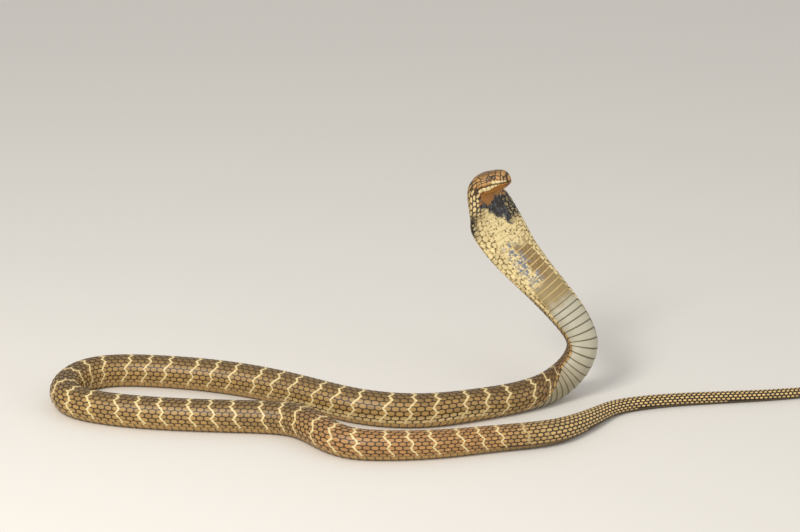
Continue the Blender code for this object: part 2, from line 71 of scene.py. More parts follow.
# The animal's route and sections, as in the solids
ROUTE_MOVE = (4.4, -2.2, 0.0)
SNOUT = (-25.5, 148.0, 386.0)
HEAD_TURN = 68.0
HEAD_LIFT = 17.0
HEAD_STRAIGHT = 40.0
HALF_WIDTH = ((0, 4.0), (1.2, 8.0), (4, 12.0), (8, 14.6), (13, 16.6), (19, 18.2), (25, 19.6), (32, 22.0),
              (40, 25.0))
CROWN = ((0, 6.0), (1.2, 12.0), (4, 16.4), (8, 19.6), (13, 21.8), (19, 23.2), (25, 24.0), (32, 24.0),
         (40, 23.5))
JAW = ((0, 3.0), (1.2, 5.4), (4, 7.8), (8, 9.8), (13, 11.2), (19, 12.6), (25, 14.0), (32, 15.6),
       (40, 17.5))
MOUTH_RISE = ((0, 0.0), (13, 1.2), (32, 2.6), (40, 2.0))
HEAD_FULLNESS = 0.86
RAISED = (
    # x, y, z, belly x, belly y, belly z, half width, back, belly depth, edge
    (-61.6, 162.5, 376.2, 0.27, -0.11, -0.96, 25.0, 21.5, 19.5, 0.86),
    (-71.2, 166.6, 369.3, 0.71, -0.36, -0.60, 27.5, 23.5, 18.0, 0.88),
    (-74.7, 171.1, 357.9, 0.86, -0.44, -0.10, 35.0, 25.0, 16.5, 1.0),
    (-71.9, 173.2, 345.9, 0.79, -0.54, 0.30, 48.0, 22.5, 16.0, 1.2),
    (-60.0, 174.5, 321.0, 0.62, -0.69, 0.38, 57.0, 18.5, 14.0, 1.35),
    (-51.5, 172.0, 302.0, 0.56, -0.75, 0.37, 57.5, 17.5, 13.5, 1.35),
    (-39.0, 166.0, 281.0, 0.52, -0.78, 0.36, 55.0, 17.5, 13.5, 1.35),
    (-20.0, 158.0, 254.0, 0.48, -0.80, 0.36, 49.5, 18.0, 14.5, 1.30),
    (27.0, 136.0, 202.5, 0.36, -0.86, 0.38, 38.5, 21.5, 19.0, 1.12),
    (80.0, 108.0, 146.5, 0.18, -0.90, 0.40, 31.7, 26.0, 24.0, 1.0),
    (98.0, 96.0, 121.0, 0.18, -0.92, 0.36, 29.0, 27.5, 26.0, 1.0),
    (105.0, 88.0, 99.0, 0.25, -0.91, 0.30, 28.0, 27.5, 26.5, 1.0),
    (101.0, 81.0, 79.0, 0.38, -0.91, 0.09, 28.0, 27.5, 27.0, 1.0),
    (81.0, 73.0, 49.0, 0.42, -0.90, 0.04, 28.8, 28.5, 28.0, 1.0),
    (54.0, 58.0, 32.0, 0.58, -0.73, -0.36, 29.0, 29.0, 28.5, 1.0),
)
LYING = (
    # x, y, radius
    (11.0, 28.0, 27.5), (-81.0, -18.0, 27.8), (-187.0, -50.0, 29.6), (-292.0, -33.0, 30.3),
    (-400.0, 32.0, 29.8), (-511.0, 91.0, 29.3), (-659.0, 130.0, 28.8), (-714.0, 135.0, 28.7),
    (-759.0, 130.0, 28.7), (-793.0, 111.0, 28.6), (-814.0, 75.0, 28.4), (-818.0, 39.0, 28.2),
    (-807.0, 7.0, 28.0), (-782.0, -17.0, 27.9), (-749.0, -33.0, 28.0), (-641.0, -59.0, 28.0),
    (-500.0, -72.0, 28.0), (-448.0, -77.0, 28.2), (-404.0, -91.0, 28.5), (-368.0, -124.0, 28.2),
    (-338.0, -159.0, 27.3), (-307.0, -180.0, 26.4), (-256.0, -188.0, 25.4), (-154.0, -179.0, 24.0),
    (-51.0, -153.0, 22.6), (45.0, -122.0, 21.4), (81.0, -91.0, 19.0), (120.0, -45.0, 15.8),
    (159.0, -3.0, 13.4), (205.0, 19.0, 12.4), (278.0, 37.0, 11.6), (424.0, 58.0, 10.3),
    (498.0, 72.0, 9.7), (580.0, 92.0, 8.7), (660.0, 108.0, 7.3), (730.0, 112.0, 5.7),
    (790.0, 102.0, 4.0), (838.0, 80.0, 1.6),
)
SAG = 0.94
BODY_WIDTH = 1.03
LYING_BLEND = 30.0                  # length over which the neck settles on the floor
FLOOR_GAP = 0.2                     # height of the lowest skin over the floor

# Heights of the coat over the solids' surface
SKIN_DEPTH = -0.9
SCALE_FRONT = -0.75                 # a scale's front edge, tucked under the scale ahead
SCALE_BACK = 0.1                    # its free rear edge
SCALE_ROOT = -1.5

# How the scales run: rows across the back, and the length of a segment, at places along the animal
SCUTE_REACH = 62.0
SCUTE_HALF_WIDTH = 27.0
ROWS = ((50, 17), (90, 19), (260, 19), (330, 17), (450, 17), (520, 15), (2280, 15), (2460, 13), (2600, 11),
        (2760, 9), (2950, 7), (3250, 5))
PITCH = ((50, 7.5), (95, 8.0), (140, 11.0), (200, 12.0), (560, 13.0), (2150, 12.6), (2400, 11.0),
         (2600, 9.8), (2900, 8.4), (3200, 6.0), (3320, 4.0))
BAND_EVERY = 10.0 / 3.0             # segments from one pale band to the next
BODY_PATH = (0.0, 0.5, 0.0, 0.5, 1.0, 0.5, 1.0, 1.5, 1.0, 1.5)      # how a band steps back from row to row
HOOD_PATH = (0.0, 0.5, 1.0, 1.5, 1.0, 1.5, 2.0, 1.5, 2.0, 2.5)
HOOD_END = 430.0

# The camera: a long lens a little over four metres off, looking down on the floor
IMAGE = (800, 532)
FOCAL_PIXELS = 2333.0
SENSOR = 36.0
CAMERA_PLACE = (-0.2176, -3.8002, 1.6604)
CAMERA_DOWN = 20.0

# The studio, in metres
FLOOR_HALF = 14.0
LAMPS = (
    # name, place, size, share of the main lamp's power
    ("key", (-1.6, -1.9, 2.4), 1.1, 1.0),
    ("fill", (2.6, -1.6, 1.6), 2.0, 0.22),
)
LAMP_AIM = (-0.1, 0.0, 0.1)
LAMP_TINT = (1.0, 0.96, 0.90)
SKY_TINT = (1.0, 0.98, 0.95, 1.0)


# Small helpers

def smooth_step(value):
    value = np.clip(value, 0.0, 1.0)
    return value * value * (3.0 - 2.0 * value)


def steps(keys, at):
    """Values read off a list of (place, value) with straight lines between."""
    return np.interp(at, [key[0] for key in keys], [key[1] for key in keys])


def curve(keys, at):
    """Values read off a list of (place, value) with a smooth curve, finer towards the tip of the snout."""
    place = np.sqrt([key[0] for key in keys])
    value = np.array([key[1] for key in keys], float)
    slope = np.gradient(value, place)
    at = np.clip(np.sqrt(np.maximum(at, 0.0)), place[0], place[-1])
    i = np.clip(np.searchsorted(place, at, side="right") - 1, 0, len(place) - 2)
    step = place[i + 1] - place[i]
    t = (at - place[i]) / step
    return ((1 + 2 * t) * (1 - t) ** 2 * value[i] + t * (1 - t) ** 2 * step * slope[i]
            + t * t * (3 - 2 * t) * value[i + 1] + t * t * (t - 1) * step * slope[i + 1])


def unit(vectors):
    return vectors / np.maximum(np.linalg.norm(vectors, axis=-1, keepdims=True), 1e-12)


def section(size, angle):
    """Across and upward distances of the section's outline."""
    width, back, depth, edge = size
    side = np.sin(np.radians(angle))
    height = np.cos(np.radians(angle))
    across = width * np.sign(side) * np.abs(side) ** np.minimum(edge, 1.0)
    upward = np.where(height > 0, back, depth) * np.sign(height) * np.abs(height) ** edge
    return across, upward


class Spine:
    """The animal's middle line with its sections."""

    def __init__(self):
        turn = math.radians(HEAD_TURN)
        lift = math.radians(HEAD_LIFT)
        self.face = np.array((math.sin(turn) * math.cos(lift), -math.cos(turn) * math.cos(lift),
                              math.sin(lift)))
        self.face_right = np.array((-math.cos(turn), -math.sin(turn), 0.0))
        self.crown = np.cross(self.face_right, self.face)
        self.snout = np.array(SNOUT) + ROUTE_MOVE
        rows = list(RAISED)
        for x, y, radius in LYING:
            rows.append((x, y, SAG * radius, 0.0, 0.0, -1.0, BODY_WIDTH * radius, radius, radius, 1.0))
        self.values = np.array(rows)
        self.values[:, :3] += ROUTE_MOVE
        gaps = np.linalg.norm(np.diff(self.values[:, :3], axis=0), axis=1)
        self.knots = HEAD_STRAIGHT + np.concatenate(([0.0], np.cumsum(gaps)))
        self.bends = self.solve(gaps)
        self.length = float(self.knots[-1])
        self.lying_from = float(self.knots[len(RAISED)])

    def solve(self, gaps):
        """Second derivatives of the cubic spline, which starts along the head's axis."""
        count = len(self.knots)
        rise = np.diff(self.values, axis=0) / gaps[:, None]
        start = rise[0].copy()
        start[:3] = -self.face
        matrix = np.zeros((count, count))
        right = np.zeros_like(self.values)
        matrix[0, :2] = 2.0 * gaps[0], gaps[0]
        right[0] = 6.0 * (rise[0] - start)
        for i in range(1, count - 1):
            matrix[i, i - 1:i + 2] = gaps[i - 1], 2.0 * (gaps[i - 1] + gaps[i]), gaps[i]
            right[i] = 6.0 * (rise[i] - rise[i - 1])
        matrix[-1, -1] = 1.0
        return np.linalg.solve(matrix, right)

    def rows(self, at):
        at = np.clip(at, self.knots[0], self.length)
        i = np.clip(np.searchsorted(self.knots, at, side="right") - 1, 0, len(self.knots) - 2)
        step = (self.knots[i + 1] - self.knots[i])[:, None]
        t = (at - self.knots[i])[:, None] / step
        low, high = self.values[i], self.values[i + 1]
        bend_low, bend_high = self.bends[i], self.bends[i + 1]
        value = ((1 - t) * low + t * high
                 + step ** 2 / 6 * (((1 - t) ** 3 - (1 - t)) * bend_low + (t ** 3 - t) * bend_high))
        slope = ((high - low) / step
                 + step / 6 * ((1 - 3 * (1 - t) ** 2) * bend_low + (3 * t ** 2 - 1) * bend_high))
        return value, slope

    def frames(self, at):
        """Middles, right and up directions, and the sections' sizes."""
        value, slope = self.rows(at)
        middle = value[:, :3].copy()
        forward = -slope[:, :3]
        lying = smooth_step((at - self.lying_from) / LYING_BLEND)
        middle[:, 2] += (SAG * value[:, 7] - middle[:, 2]) * lying
        forward[:, 2] *= 1.0 - lying
        belly = value[:, 3:6]
        size = value[:, 6:10].T.copy()
        head = at <= HEAD_STRAIGHT
        rise = curve(MOUTH_RISE, at[head])
        middle[head] = self.snout - np.outer(at[head], self.face) + np.outer(rise, self.crown)
        forward[head] = self.face
        belly[head] = -self.crown
        size[:, head] = (curve(HALF_WIDTH, at[head]), curve(CROWN, at[head]) - rise,
                         curve(JAW, at[head]) + rise, np.full(rise.shape, HEAD_FULLNESS))
        forward = unit(forward)
        up = -unit(belly - forward * np.sum(belly * forward, axis=1, keepdims=True))
        return middle, np.cross(forward, up), up, size

    def surface(self, at, angle):
        middle, right, up, size = self.frames(at)
        across, upward = section(size, angle)
        return middle + right * across[:, None] + up * upward[:, None]

    def points(self, at, angle, proud):
        """Points of the body in metres, each standing proud of the solids' surface along its normal."""
        at = np.clip(np.asarray(at, float).ravel(), 0.0, self.length)
        angle = np.asarray(angle, float).ravel()
        small, turn = 0.25, 1.0
        ahead = self.surface(np.maximum(at - small, 0.0), angle) - self.surface(at + small, angle)
        around = self.surface(at, angle + turn) - self.surface(at, angle - turn)
        normal = unit(np.cross(around, ahead))
        spot = self.surface(at, angle) + normal * np.asarray(proud, float).ravel()[:, None]
        spot[:, 2] = np.maximum(spot[:, 2], FLOOR_GAP - np.minimum(np.ravel(proud), 0.0))
        return spot * MM


class Coat:
    """Where rows and segments of scales lie on the body.

    Girth runs from 0 at the middle of the back to 1 where the belly scutes begin and 2 at the middle of
    the belly. It is turned into an angle by lengths round each section.
    """

    def __init__(self, spine):
        self.at = np.arange(0.0, spine.length + 5.0, 5.0)
        angles = np.linspace(0.0, 180.0, 181)
        size = spine.frames(self.at)[3]
        across, upward = section(size[:, :, None], angles[None, :])
        arc = np.hypot(np.diff(across, axis=1), np.diff(upward, axis=1))
        arc = np.concatenate((np.zeros((len(self.at), 1)), np.cumsum(arc, axis=1)), axis=1)
        narrow = np.degrees(np.arcsin(np.minimum(1.0, SCUTE_HALF_WIDTH / size[0])))
        self.reach = 180.0 - np.minimum(SCUTE_REACH, narrow)
        self.share = np.linspace(0.0, 2.0, 65)
        self.table = np.zeros((len(self.at), len(self.share)))
        for i, reach in enumerate(self.reach):
            edge = np.interp(reach, angles, arc[i])
            whole = arc[i, -1]
            wanted = np.where(self.share < 1.0, self.share * edge, edge + (self.share - 1.0) * (whole - edge))
            self.table[i] = np.interp(wanted, arc[i], angles)
        fine = np.arange(50.0, spine.length + 1.0, 1.0)
        self.fine = fine
        self.count = np.concatenate(([0.0], np.cumsum(1.0 / steps(PITCH, fine[:-1] + 0.5))))

    def angle(self, at, girth):
        """Angle for a signed girth."""
        at = np.asarray(at, float)
        girth = np.asarray(girth, float)
        x = np.clip(at / 5.0, 0.0, len(self.at) - 1.001)
        y = np.clip(np.abs(girth) * 32.0, 0.0, 63.999)
        i, j = x.astype(int), y.astype(int)
        u, v = x - i, y - j
        table = self.table
        value = ((1 - u) * ((1 - v) * table[i, j] + v * table[i, j + 1])
                 + u * ((1 - v) * table[i + 1, j] + v * table[i + 1, j + 1]))
        return np.sign(girth) * value

    def girth(self, at, angle):
        """Signed girth for an angle between -180 and 180."""
        i = np.clip(np.round(np.asarray(at, float) / 5.0), 0, len(self.at) - 1).astype(int)
        size = np.abs(angle)
        value = np.array([np.interp(a, self.table[k], self.share) for a, k in zip(size, i)])
        return np.sign(angle) * value

    def segment(self, at):
        return np.interp(at, self.fine, self.count)

    def place(self, segment):
        return np.interp(segment, self.count, self.fine)

    def lane(self, at, girth):
        """Segments behind the neck, less the steps that a pale band takes from row to row."""
        row = np.abs(girth) * steps(ROWS, at) / 2.0
        body = np.interp(row, np.arange(len(BODY_PATH)), BODY_PATH)
        hood = np.interp(row, np.arange(len(HOOD_PATH)), HOOD_PATH)
        return self.segment(at) - np.where(np.asarray(at) < HOOD_END, hood, body)


SPINE = Spine()
COAT = Coat(SPINE)


# Form of the head over its plain sections

EYE = (23.5, 57.0)                  # place of the eye: behind the snout, and degrees from the crown
EYE_OPENING = 3.5
NOSTRIL = (6.5, 61.5)
OPENINGS = {
    # middle; the ring's radius, breadth and height; the hole's radius, slope and depth
    "eye": (EYE, EYE_OPENING + 0.9, 0.9, 0.5, EYE_OPENING + 0.2, 0.8, 3.2),
    "nostril": (NOSTRIL, 2.0, 0.7, 0.35, 1.5, 0.9, 2.4),
}
DEGREE = 0.38                       # millimetres to a degree round the head
MOUTH_CORNER = 57.0
MOUTH_FORM = (
    # degrees from the crown, breadth, height: the slit and a lip on each side of it
    (90.0, 2.2, -1.5),
    (82.0, 5.0, 0.45),
    (97.5, 5.0, 0.45),
)
HEAD_SWELLS = {
    # middle and spread, each along in millimetres and round in degrees, then height
    "brow": ((24.0, 44.0), (7.5, 6.0), 0.9),
    "ridge ahead of the brow": ((14.0, 47.0), (6.0, 7.0), 0.5),
    "hollow ahead of the eye": ((14.5, 65.0), (5.0, 8.0), -0.8),
    "jaw muscle": ((46.0, 74.0), (10.0, 16.0), 1.2),
    "dip of the crown": ((30.0, 0.0), (9.0, 16.0), -0.5),
    "groove of the chin": ((20.0, 180.0), (14.0, 3.0), -0.7),
}


def away_from(at, angle, middle):
    return np.hypot(at - middle[0], (np.abs(angle) - middle[1]) * DEGREE)


def swell(at, angle, middle, spread, height):
    """A smooth rise round a place, spread in millimetres along and in degrees round."""
    away = ((at - middle[0]) / spread[0]) ** 2 + ((np.abs(angle) - middle[1]) / spread[1]) ** 2
    return height * np.exp(-away)


def head_form(at, angle):
    """How far the head's skin stands over its plain sections."""
    at = np.asarray(at, float)
    size = np.abs(angle)
    inside = smooth_step((MOUTH_CORNER - at) / 7.0) * smooth_step(at / 1.5)
    form = 0.0 * at
    for middle, breadth, height in MOUTH_FORM:
        form += height * inside * np.exp(-((size - middle) / breadth) ** 2)
    for middle, spread, height in HEAD_SWELLS.values():
        form += swell(at, angle, middle, spread, height)
    for middle, ring, breadth, height, hole, slope, depth in OPENINGS.values():
        away = away_from(at, angle, middle)
        form += height * np.exp(-((away - ring) / breadth) ** 2) - depth * smooth_step((hole - away) / slope)
    return np.where(at < 80.0, form, 0.0)


LIP = 89.2                          # lower edge of the upper lip, in degrees from the crown
LOWER_TOP = 91.0                    # upper edge of the lower lip

# Head shields: corners in millimetres over the skin behind the snout and degrees from the crown, right
# side. Neighbours share their corners.
SHIELDS = {
    "internasal": ((2.8, 0), (3.0, 38), (4.4, 50), (6.5, 50.5), (10.0, 51), (11.4, 28), (11.8, 0)),
    "prefrontal": ((11.8, 0), (11.4, 28), (10.0, 51), (14.5, 53), (19.6, 48), (20.3, 38), (20.6, 26),
                   (21.2, 0)),
    "supraocular": ((20.6, 26), (20.3, 38), (19.6, 48), (20.9, 50.3), (23.5, 47.5), (26.1, 50.3),
                    (28.5, 51), (32.5, 45), (33.0, 30), (31.0, 22), (26.0, 24)),
    "parietal": ((36.0, 0), (31.0, 22), (33.0, 30), (32.5, 45), (37.5, 53), (47.0, 51), (52.0, 37),
                 (54.5, 0)),
    "occipital": ((54.5, 0), (52.0, 37), (57.0, 47), (65.5, 41), (69.5, 20), (69.0, 0)),
    "front nasal": ((4.4, 50), (2.6, 56), (2.3, 66), (2.6, 76), (6.8, 76), (6.7, 66.2), (5.6, 64.8),
                    (5.2, 61.5), (5.5, 58.5), (6.5, 57), (6.5, 50.5)),
    "rear nasal": ((6.5, 50.5), (6.5, 57), (7.6, 58.6), (7.9, 61.5), (7.5, 64.8), (6.7, 66.2), (6.8, 76),
                   (11.6, 75.5), (11.8, 62), (10.0, 51)),
    "preocular": ((10.0, 51), (11.8, 62), (11.6, 75.5), (17.2, 74.5), (19.6, 69), (20.9, 63.7),
                  (19.9, 57), (20.9, 50.3), (19.6, 48), (14.5, 53)),
    "postocular upper": ((26.1, 50.3), (27.0, 56), (30.6, 57), (35.2, 54), (32.5, 45), (28.5, 51)),
    "postocular middle": ((27.0, 56), (26.8, 61), (30.4, 64.5), (35.8, 63), (35.2, 54), (30.6, 57)),
    "postocular lower": ((26.8, 61), (26.1, 63.7), (28.2, 70.5), (35.0, 72.5), (35.8, 63), (30.4, 64.5)),
    "front temporal upper": ((35.2, 54), (35.8, 63), (46.5, 63.5), (47.0, 51), (37.5, 53), (32.5, 45)),
    "front temporal lower": ((35.8, 63), (35.0, 72.5), (44.5, 74.5), (46.5, 63.5)),
    "rear temporal upper": ((47.0, 51), (46.5, 63.5), (56.0, 62), (57.0, 47), (52.0, 37)),
    "rear temporal lower": ((46.5, 63.5), (44.5, 74.5), (54.5, 78), (56.0, 62)),
    "nape upper": ((57.0, 47), (56.0, 62), (66.0, 60), (65.5, 41)),
    "nape lower": ((56.0, 62), (54.5, 78), (65.0, 78), (66.0, 60)),
    "first upper lip": ((2.6, 76), (2.4, LIP), (7.0, LIP), (6.8, 76)),
    "second upper lip": ((6.8, 76), (7.0, LIP), (12.0, LIP), (11.6, 75.5)),
    "third upper lip": ((11.6, 75.5), (12.0, LIP), (21.0, LIP), (23.5, 66.5), (20.9, 63.7), (19.6, 69),
                        (17.2, 74.5)),
    "fourth upper lip": ((23.5, 66.5), (21.0, LIP), (28.8, LIP), (28.2, 70.5), (26.1, 63.7)),
    "fifth upper lip": ((28.2, 70.5), (28.8, LIP), (36.5, LIP), (35.0, 72.5)),
    "sixth upper lip": ((35.0, 72.5), (36.5, LIP), (45.5, LIP), (44.5, 74.5)),
    "seventh upper lip": ((44.5, 74.5), (45.5, LIP), (56.5, 87), (54.5, 78)),
    "front chin": ((9.0, 180), (7.5, 158), (13.5, 148), (21.0, 154), (21.5, 180)),
    "rear chin": ((21.5, 180), (21.0, 154), (27.5, 149), (34.0, 160), (34.5, 180)),
}
FRONTAL = ((20.6, 26), (21.2, 0), (20.6, -26), (26.0, -24), (31.0, -22), (36.0, 0), (31.0, 22), (26.0, 24))
LOWER_LIPS = (2.8, 8.0, 13.0, 18.8, 25.0, 31.5, 39.0, 47.0, 56.0)   # where each lower lip shield begins
LOWER_FOOT = (103.0, 107.0, 110.0, 112.0, 114.0, 115.0, 115.0, 113.0, 109.0)
# The plates at the tip of the snout, seen from the front: right of the middle and above the mouth
ROSTRAL = ((7.0, 1.0), (7.8, 5.0), (5.4, 9.6), (0.0, 12.2), (-5.4, 9.6), (-7.8, 5.0), (-7.0, 1.0),
           (-2.6, 0.6), (0.0, 2.0), (2.6, 0.6))
MENTAL = ((6.2, -0.9), (2.4, -1.3), (0.0, -1.3), (-2.4, -1.3), (-6.2, -0.9), (-4.6, -4.8), (0.0, -6.6),
          (4.6, -4.8))
SNOUT_PLATES = (
    # corners, degrees from the crown for the markings, left edge on the bake map
    (ROSTRAL, 84.0, 0.004),
    (MENTAL, 100.0, 0.014),
)
SNOUT_ROUNDING = 0.55               # how far a plate's outer parts turn from facing forwards
SHIELD_GAP = 0.2
SHIELD_CORNER = 0.6                 # rounding of the corners
SHIELD_RISE = 0.5
SHIELD_ROOT = -0.6
SHIELD_MARGIN = 1.3                 # breadth over which the rim's mark falls away
SHIELD_CUT = 1.8                    # breadth of the cuts that let a shield bend with the head
HEAD_MAP = (0.025, 75.0, 385.0)     # left edge, millimetres along and degrees round the head's bake map
SNOUT_MAP = (8.5, 2200.0, 300.0)    # half breadth of a snout plate, and millimetres along and up its bake map


NAPE_AT = np.arange(HEAD_STRAIGHT, 131.0, 0.5)
NAPE_STEP = 4.0
NAPE_ANGLES = np.arange(0.0, 189.0, NAPE_STEP)


def nape_lengths():
    """Distances over the skin behind the snout, at places round the nape and angles from the crown."""
    spots = np.array([SPINE.surface(NAPE_AT, np.full(NAPE_AT.shape, angle)) for angle in NAPE_ANGLES])
    gaps = np.linalg.norm(np.diff(spots, axis=1), axis=2)
    start = np.zeros((len(NAPE_ANGLES), 1))
    return HEAD_STRAIGHT + np.concatenate((start, np.cumsum(gaps, axis=1)), axis=1)


NAPE = nape_lengths()


def along(distance, angle):
    """The place on the spine for a distance over the skin, which is longer round the back of the nape."""
    distance = np.asarray(distance, float)
    line = np.abs(angle) / NAPE_STEP
    bent = []
    for d, low, share in zip(distance, np.floor(line).astype(int), line % 1.0):
        near, far = np.interp(d, NAPE[low], NAPE_AT), np.interp(d, NAPE[low + 1], NAPE_AT)
        bent.append(near + (far - near) * share)
    return np.where(distance <= HEAD_STRAIGHT, distance, bent)


def edge_distance(spots, corners):
    """Distance of each point from the outline through the corners."""
    corners = np.asarray(corners, float)
    best = np.full(len(spots), 1e9)
    for first, second in zip(corners, np.roll(corners, -1, axis=0)):
        line = second - first
        share = np.clip(((spots - first) @ line) / max(line @ line, 1e-9), 0.0, 1.0)
        best = np.minimum(best, np.linalg.norm(spots - first - share[:, None] * line, axis=1))
    return best


def closed_plate(bm):
    """Gives a flat sheet a lower face and walls: points with z 1 on top and -1 below, and the faces."""
    grown = bmesh.ops.extrude_face_region(bm, geom=bm.faces[:], use_keep_orig=True)
    lower = {item for item in grown["geom"] if isinstance(item, bmesh.types.BMVert)}
    for vert in bm.verts:
        vert.co.z = -1.0 if vert in lower else 1.0
    bmesh.ops.recalc_face_normals(bm, faces=bm.faces)
    bm.verts.index_update()
    points = np.array([vert.co[:] for vert in bm.verts])
    faces = [tuple(vert.index for vert in face.verts) for face in bm.faces]
    bm.free()
    return points, faces


def flat_shield(corners):
    """A shield laid flat in millimetres: its points, its faces, and each point's distance from the edge."""
    bm = bmesh.new()
    bm.faces.new([bm.verts.new((x, y, 0.0)) for x, y in corners])
    bmesh.ops.bevel(bm, geom=bm.verts[:], offset=SHIELD_CORNER, offset_type="OFFSET", segments=2,
                    profile=0.5, affect="VERTICES", material=-1, clamp_overlap=True)
    ring = bmesh.ops.inset_region(bm, faces=bm.faces[:], thickness=SHIELD_GAP)
    bmesh.ops.delete(bm, geom=ring["faces"], context="FACES")
    bm.faces.ensure_lookup_table()
    outline = [vert.co.xy[:] for vert in bm.faces[0].verts]
    middle = bm.faces[:]
    for thickness in (0.3, 0.4):
        bmesh.ops.inset_region(bm, faces=middle, thickness=thickness)
    spots = np.array([vert.co[:] for vert in bm.verts])
    for axis in (0, 1):
        low, high = spots[:, axis].min(), spots[:, axis].max()
        for level in np.arange(low + SHIELD_CUT, high - 0.3, SHIELD_CUT):
            place, normal = [0.0, 0.0, 0.0], [0.0, 0.0, 0.0]
            place[axis], normal[axis] = level, 1.0
            bmesh.ops.bisect_plane(bm, geom=bm.verts[:] + bm.edges[:] + bm.faces[:], dist=1e-5,
                                   plane_co=place, plane_no=normal)
    points, faces = closed_plate(bm)
    return points, faces, edge_distance(points[:, :2], outline)


def shield_height(points, away):
    top = SKIN_DEPTH + 0.12 + SHIELD_RISE * smooth_step(away / 0.8) + 0.25 * (1.0 - np.exp(-away / 3.5))
    return np.where(points[:, 2] > 0, top, SKIN_DEPTH + SHIELD_ROOT)


def lower_lips():
    plates = []
    feet = list(zip(LOWER_LIPS, LOWER_FOOT))
    for front, rear in zip(feet, feet[1:]):
        plates.append((front, (front[0], LOWER_TOP), (rear[0], LOWER_TOP), rear))
    return plates


def snout_points(points, height):
    """Points of a plate seen from the front, laid on the front of the snout."""
    across, upward = points[:, 0], points[:, 1]
    at = np.zeros(len(points))
    for step in (2.0, 1.0, 0.5, 0.25, 0.12, 0.06):
        for _ in range(4):
            size = SPINE.frames(at + step)[3]
            tall = np.where(upward > 0, size[1], size[2])
            outside = np.hypot(across / size[0], upward / tall) > 1.0
            at = np.where(outside, at + step, at)
    size = SPINE.frames(at)[3]
    tall = np.where(upward > 0, size[1], size[2])
    flat = 1.0 - SNOUT_ROUNDING * np.minimum(np.hypot(across / size[0], upward / tall), 1.0) ** 2
    lean = np.stack((across / size[0] ** 2, upward / tall ** 2), axis=1)
    lean = unit(lean) * np.sqrt(1.0 - flat ** 2)[:, None]
    normal = (np.outer(flat, SPINE.face) + np.outer(lean[:, 0], SPINE.face_right)
              + np.outer(lean[:, 1], SPINE.crown))
    spot = (SPINE.snout - np.outer(at, SPINE.face) + np.outer(across, SPINE.face_right)
            + np.outer(upward + curve(MOUTH_RISE, at), SPINE.crown))
    return (spot + normal * height[:, None]) * MM, at


def make_shields():
    """Every shield of the head, joined in one mesh."""
    plates = [(FRONTAL, 1.0)]
    for corners in list(SHIELDS.values()) + lower_lips():
        plates += [(corners, 1.0), (corners, -1.0)]
    spots, faces, marks, uv, shift = [], [], [], [], 0
    draw = np.random.default_rng(5)

    def add(spot, face, at, angle, away, patch):
        nonlocal shift
        spots.append(spot)
        faces.extend(tuple(i + shift for i in f) for f in face)
        rim = 1.0 - np.clip(away / SHIELD_MARGIN, 0.0, 1.0)
        marks.append(np.stack((at, angle, rim, np.full(len(at), draw.random())), axis=1))
        uv.append(np.array([patch[i] for f in face for i in f]))
        shift += len(spot)

    for corners, side in plates:
        points, face, away = flat_shield([(distance, angle * DEGREE) for distance, angle in corners])
        if side < 0:
            face = [tuple(reversed(f)) for f in face]
        angle = points[:, 1] / DEGREE * side
        at = along(points[:, 0], angle)
        proud = shield_height(points, away) + head_form(at, angle)
        grow = np.where(points[:, 2] < 0, 1.03, 1.0)
        middle = points[:, 0].mean(), angle.mean()
        left, long, round_head = HEAD_MAP
        patch = np.stack((left + (middle[0] + (points[:, 0] - middle[0]) * grow) / long,
                          0.5 + (middle[1] + (angle - middle[1]) * grow) / round_head), axis=1)
        add(SPINE.points(at, angle, proud), face, at, angle, away, patch)
    half, long, tall = SNOUT_MAP
    for corners, angle, left in SNOUT_PLATES:
        points, face, away = flat_shield(corners)
        face = [tuple(reversed(f)) for f in face]
        place, at = snout_points(points, shield_height(points, away))
        grow = np.where(points[:, 2] < 0, 1.06, 1.0)
        patch = np.stack((left + (points[:, 0] * grow + half) / long,
                          0.5 + points[:, 1] * grow / tall), axis=1)
        add(place, face, at, np.full(at.shape, angle), away, patch)
    marks = np.concatenate(marks)
    table = place_marks(marks[:, 0], marks[:, 1], COAT.girth(marks[:, 0], marks[:, 1]))
    table["rim"], table["seed"] = marks[:, 2], marks[:, 3]
    return make_object("head_shields", np.concatenate(spots), faces, table,
                       np.clip(np.concatenate(uv), 0.0, 1.0))


def make_eye(name, side):
    """A glossy eyeball whose pole looks out of the head."""
    low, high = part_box(name)
    middle = np.array((low + high) / 2.0)
    radius = (high - low).x / 2.0
    out = SPINE.points([EYE[0]], [EYE[1] * side], [0.0])[0] - middle
    turn = Vector(out).to_track_quat("Z", "Y").to_matrix().to_4x4()
    bm = bmesh.new()
    bmesh.ops.create_uvsphere(bm, u_segments=48, v_segments=32, radius=radius)
    gaze = [math.degrees(vert.co.angle((0.0, 0.0, 1.0))) for vert in bm.verts]
    bmesh.ops.transform(bm, matrix=Matrix.Translation(middle) @ turn, verts=bm.verts)
    mesh = bpy.data.meshes.new(name + "_ball")
    bm.to_mesh(mesh)
    bm.free()
    mesh.shade_smooth()
    mesh.attributes.new("gaze", "FLOAT", "POINT").data.foreach_set("value", gaze)
    item = bpy.data.objects.new(name + "_ball", mesh)
    bpy.context.scene.collection.objects.link(item)
    return item


# Meshes

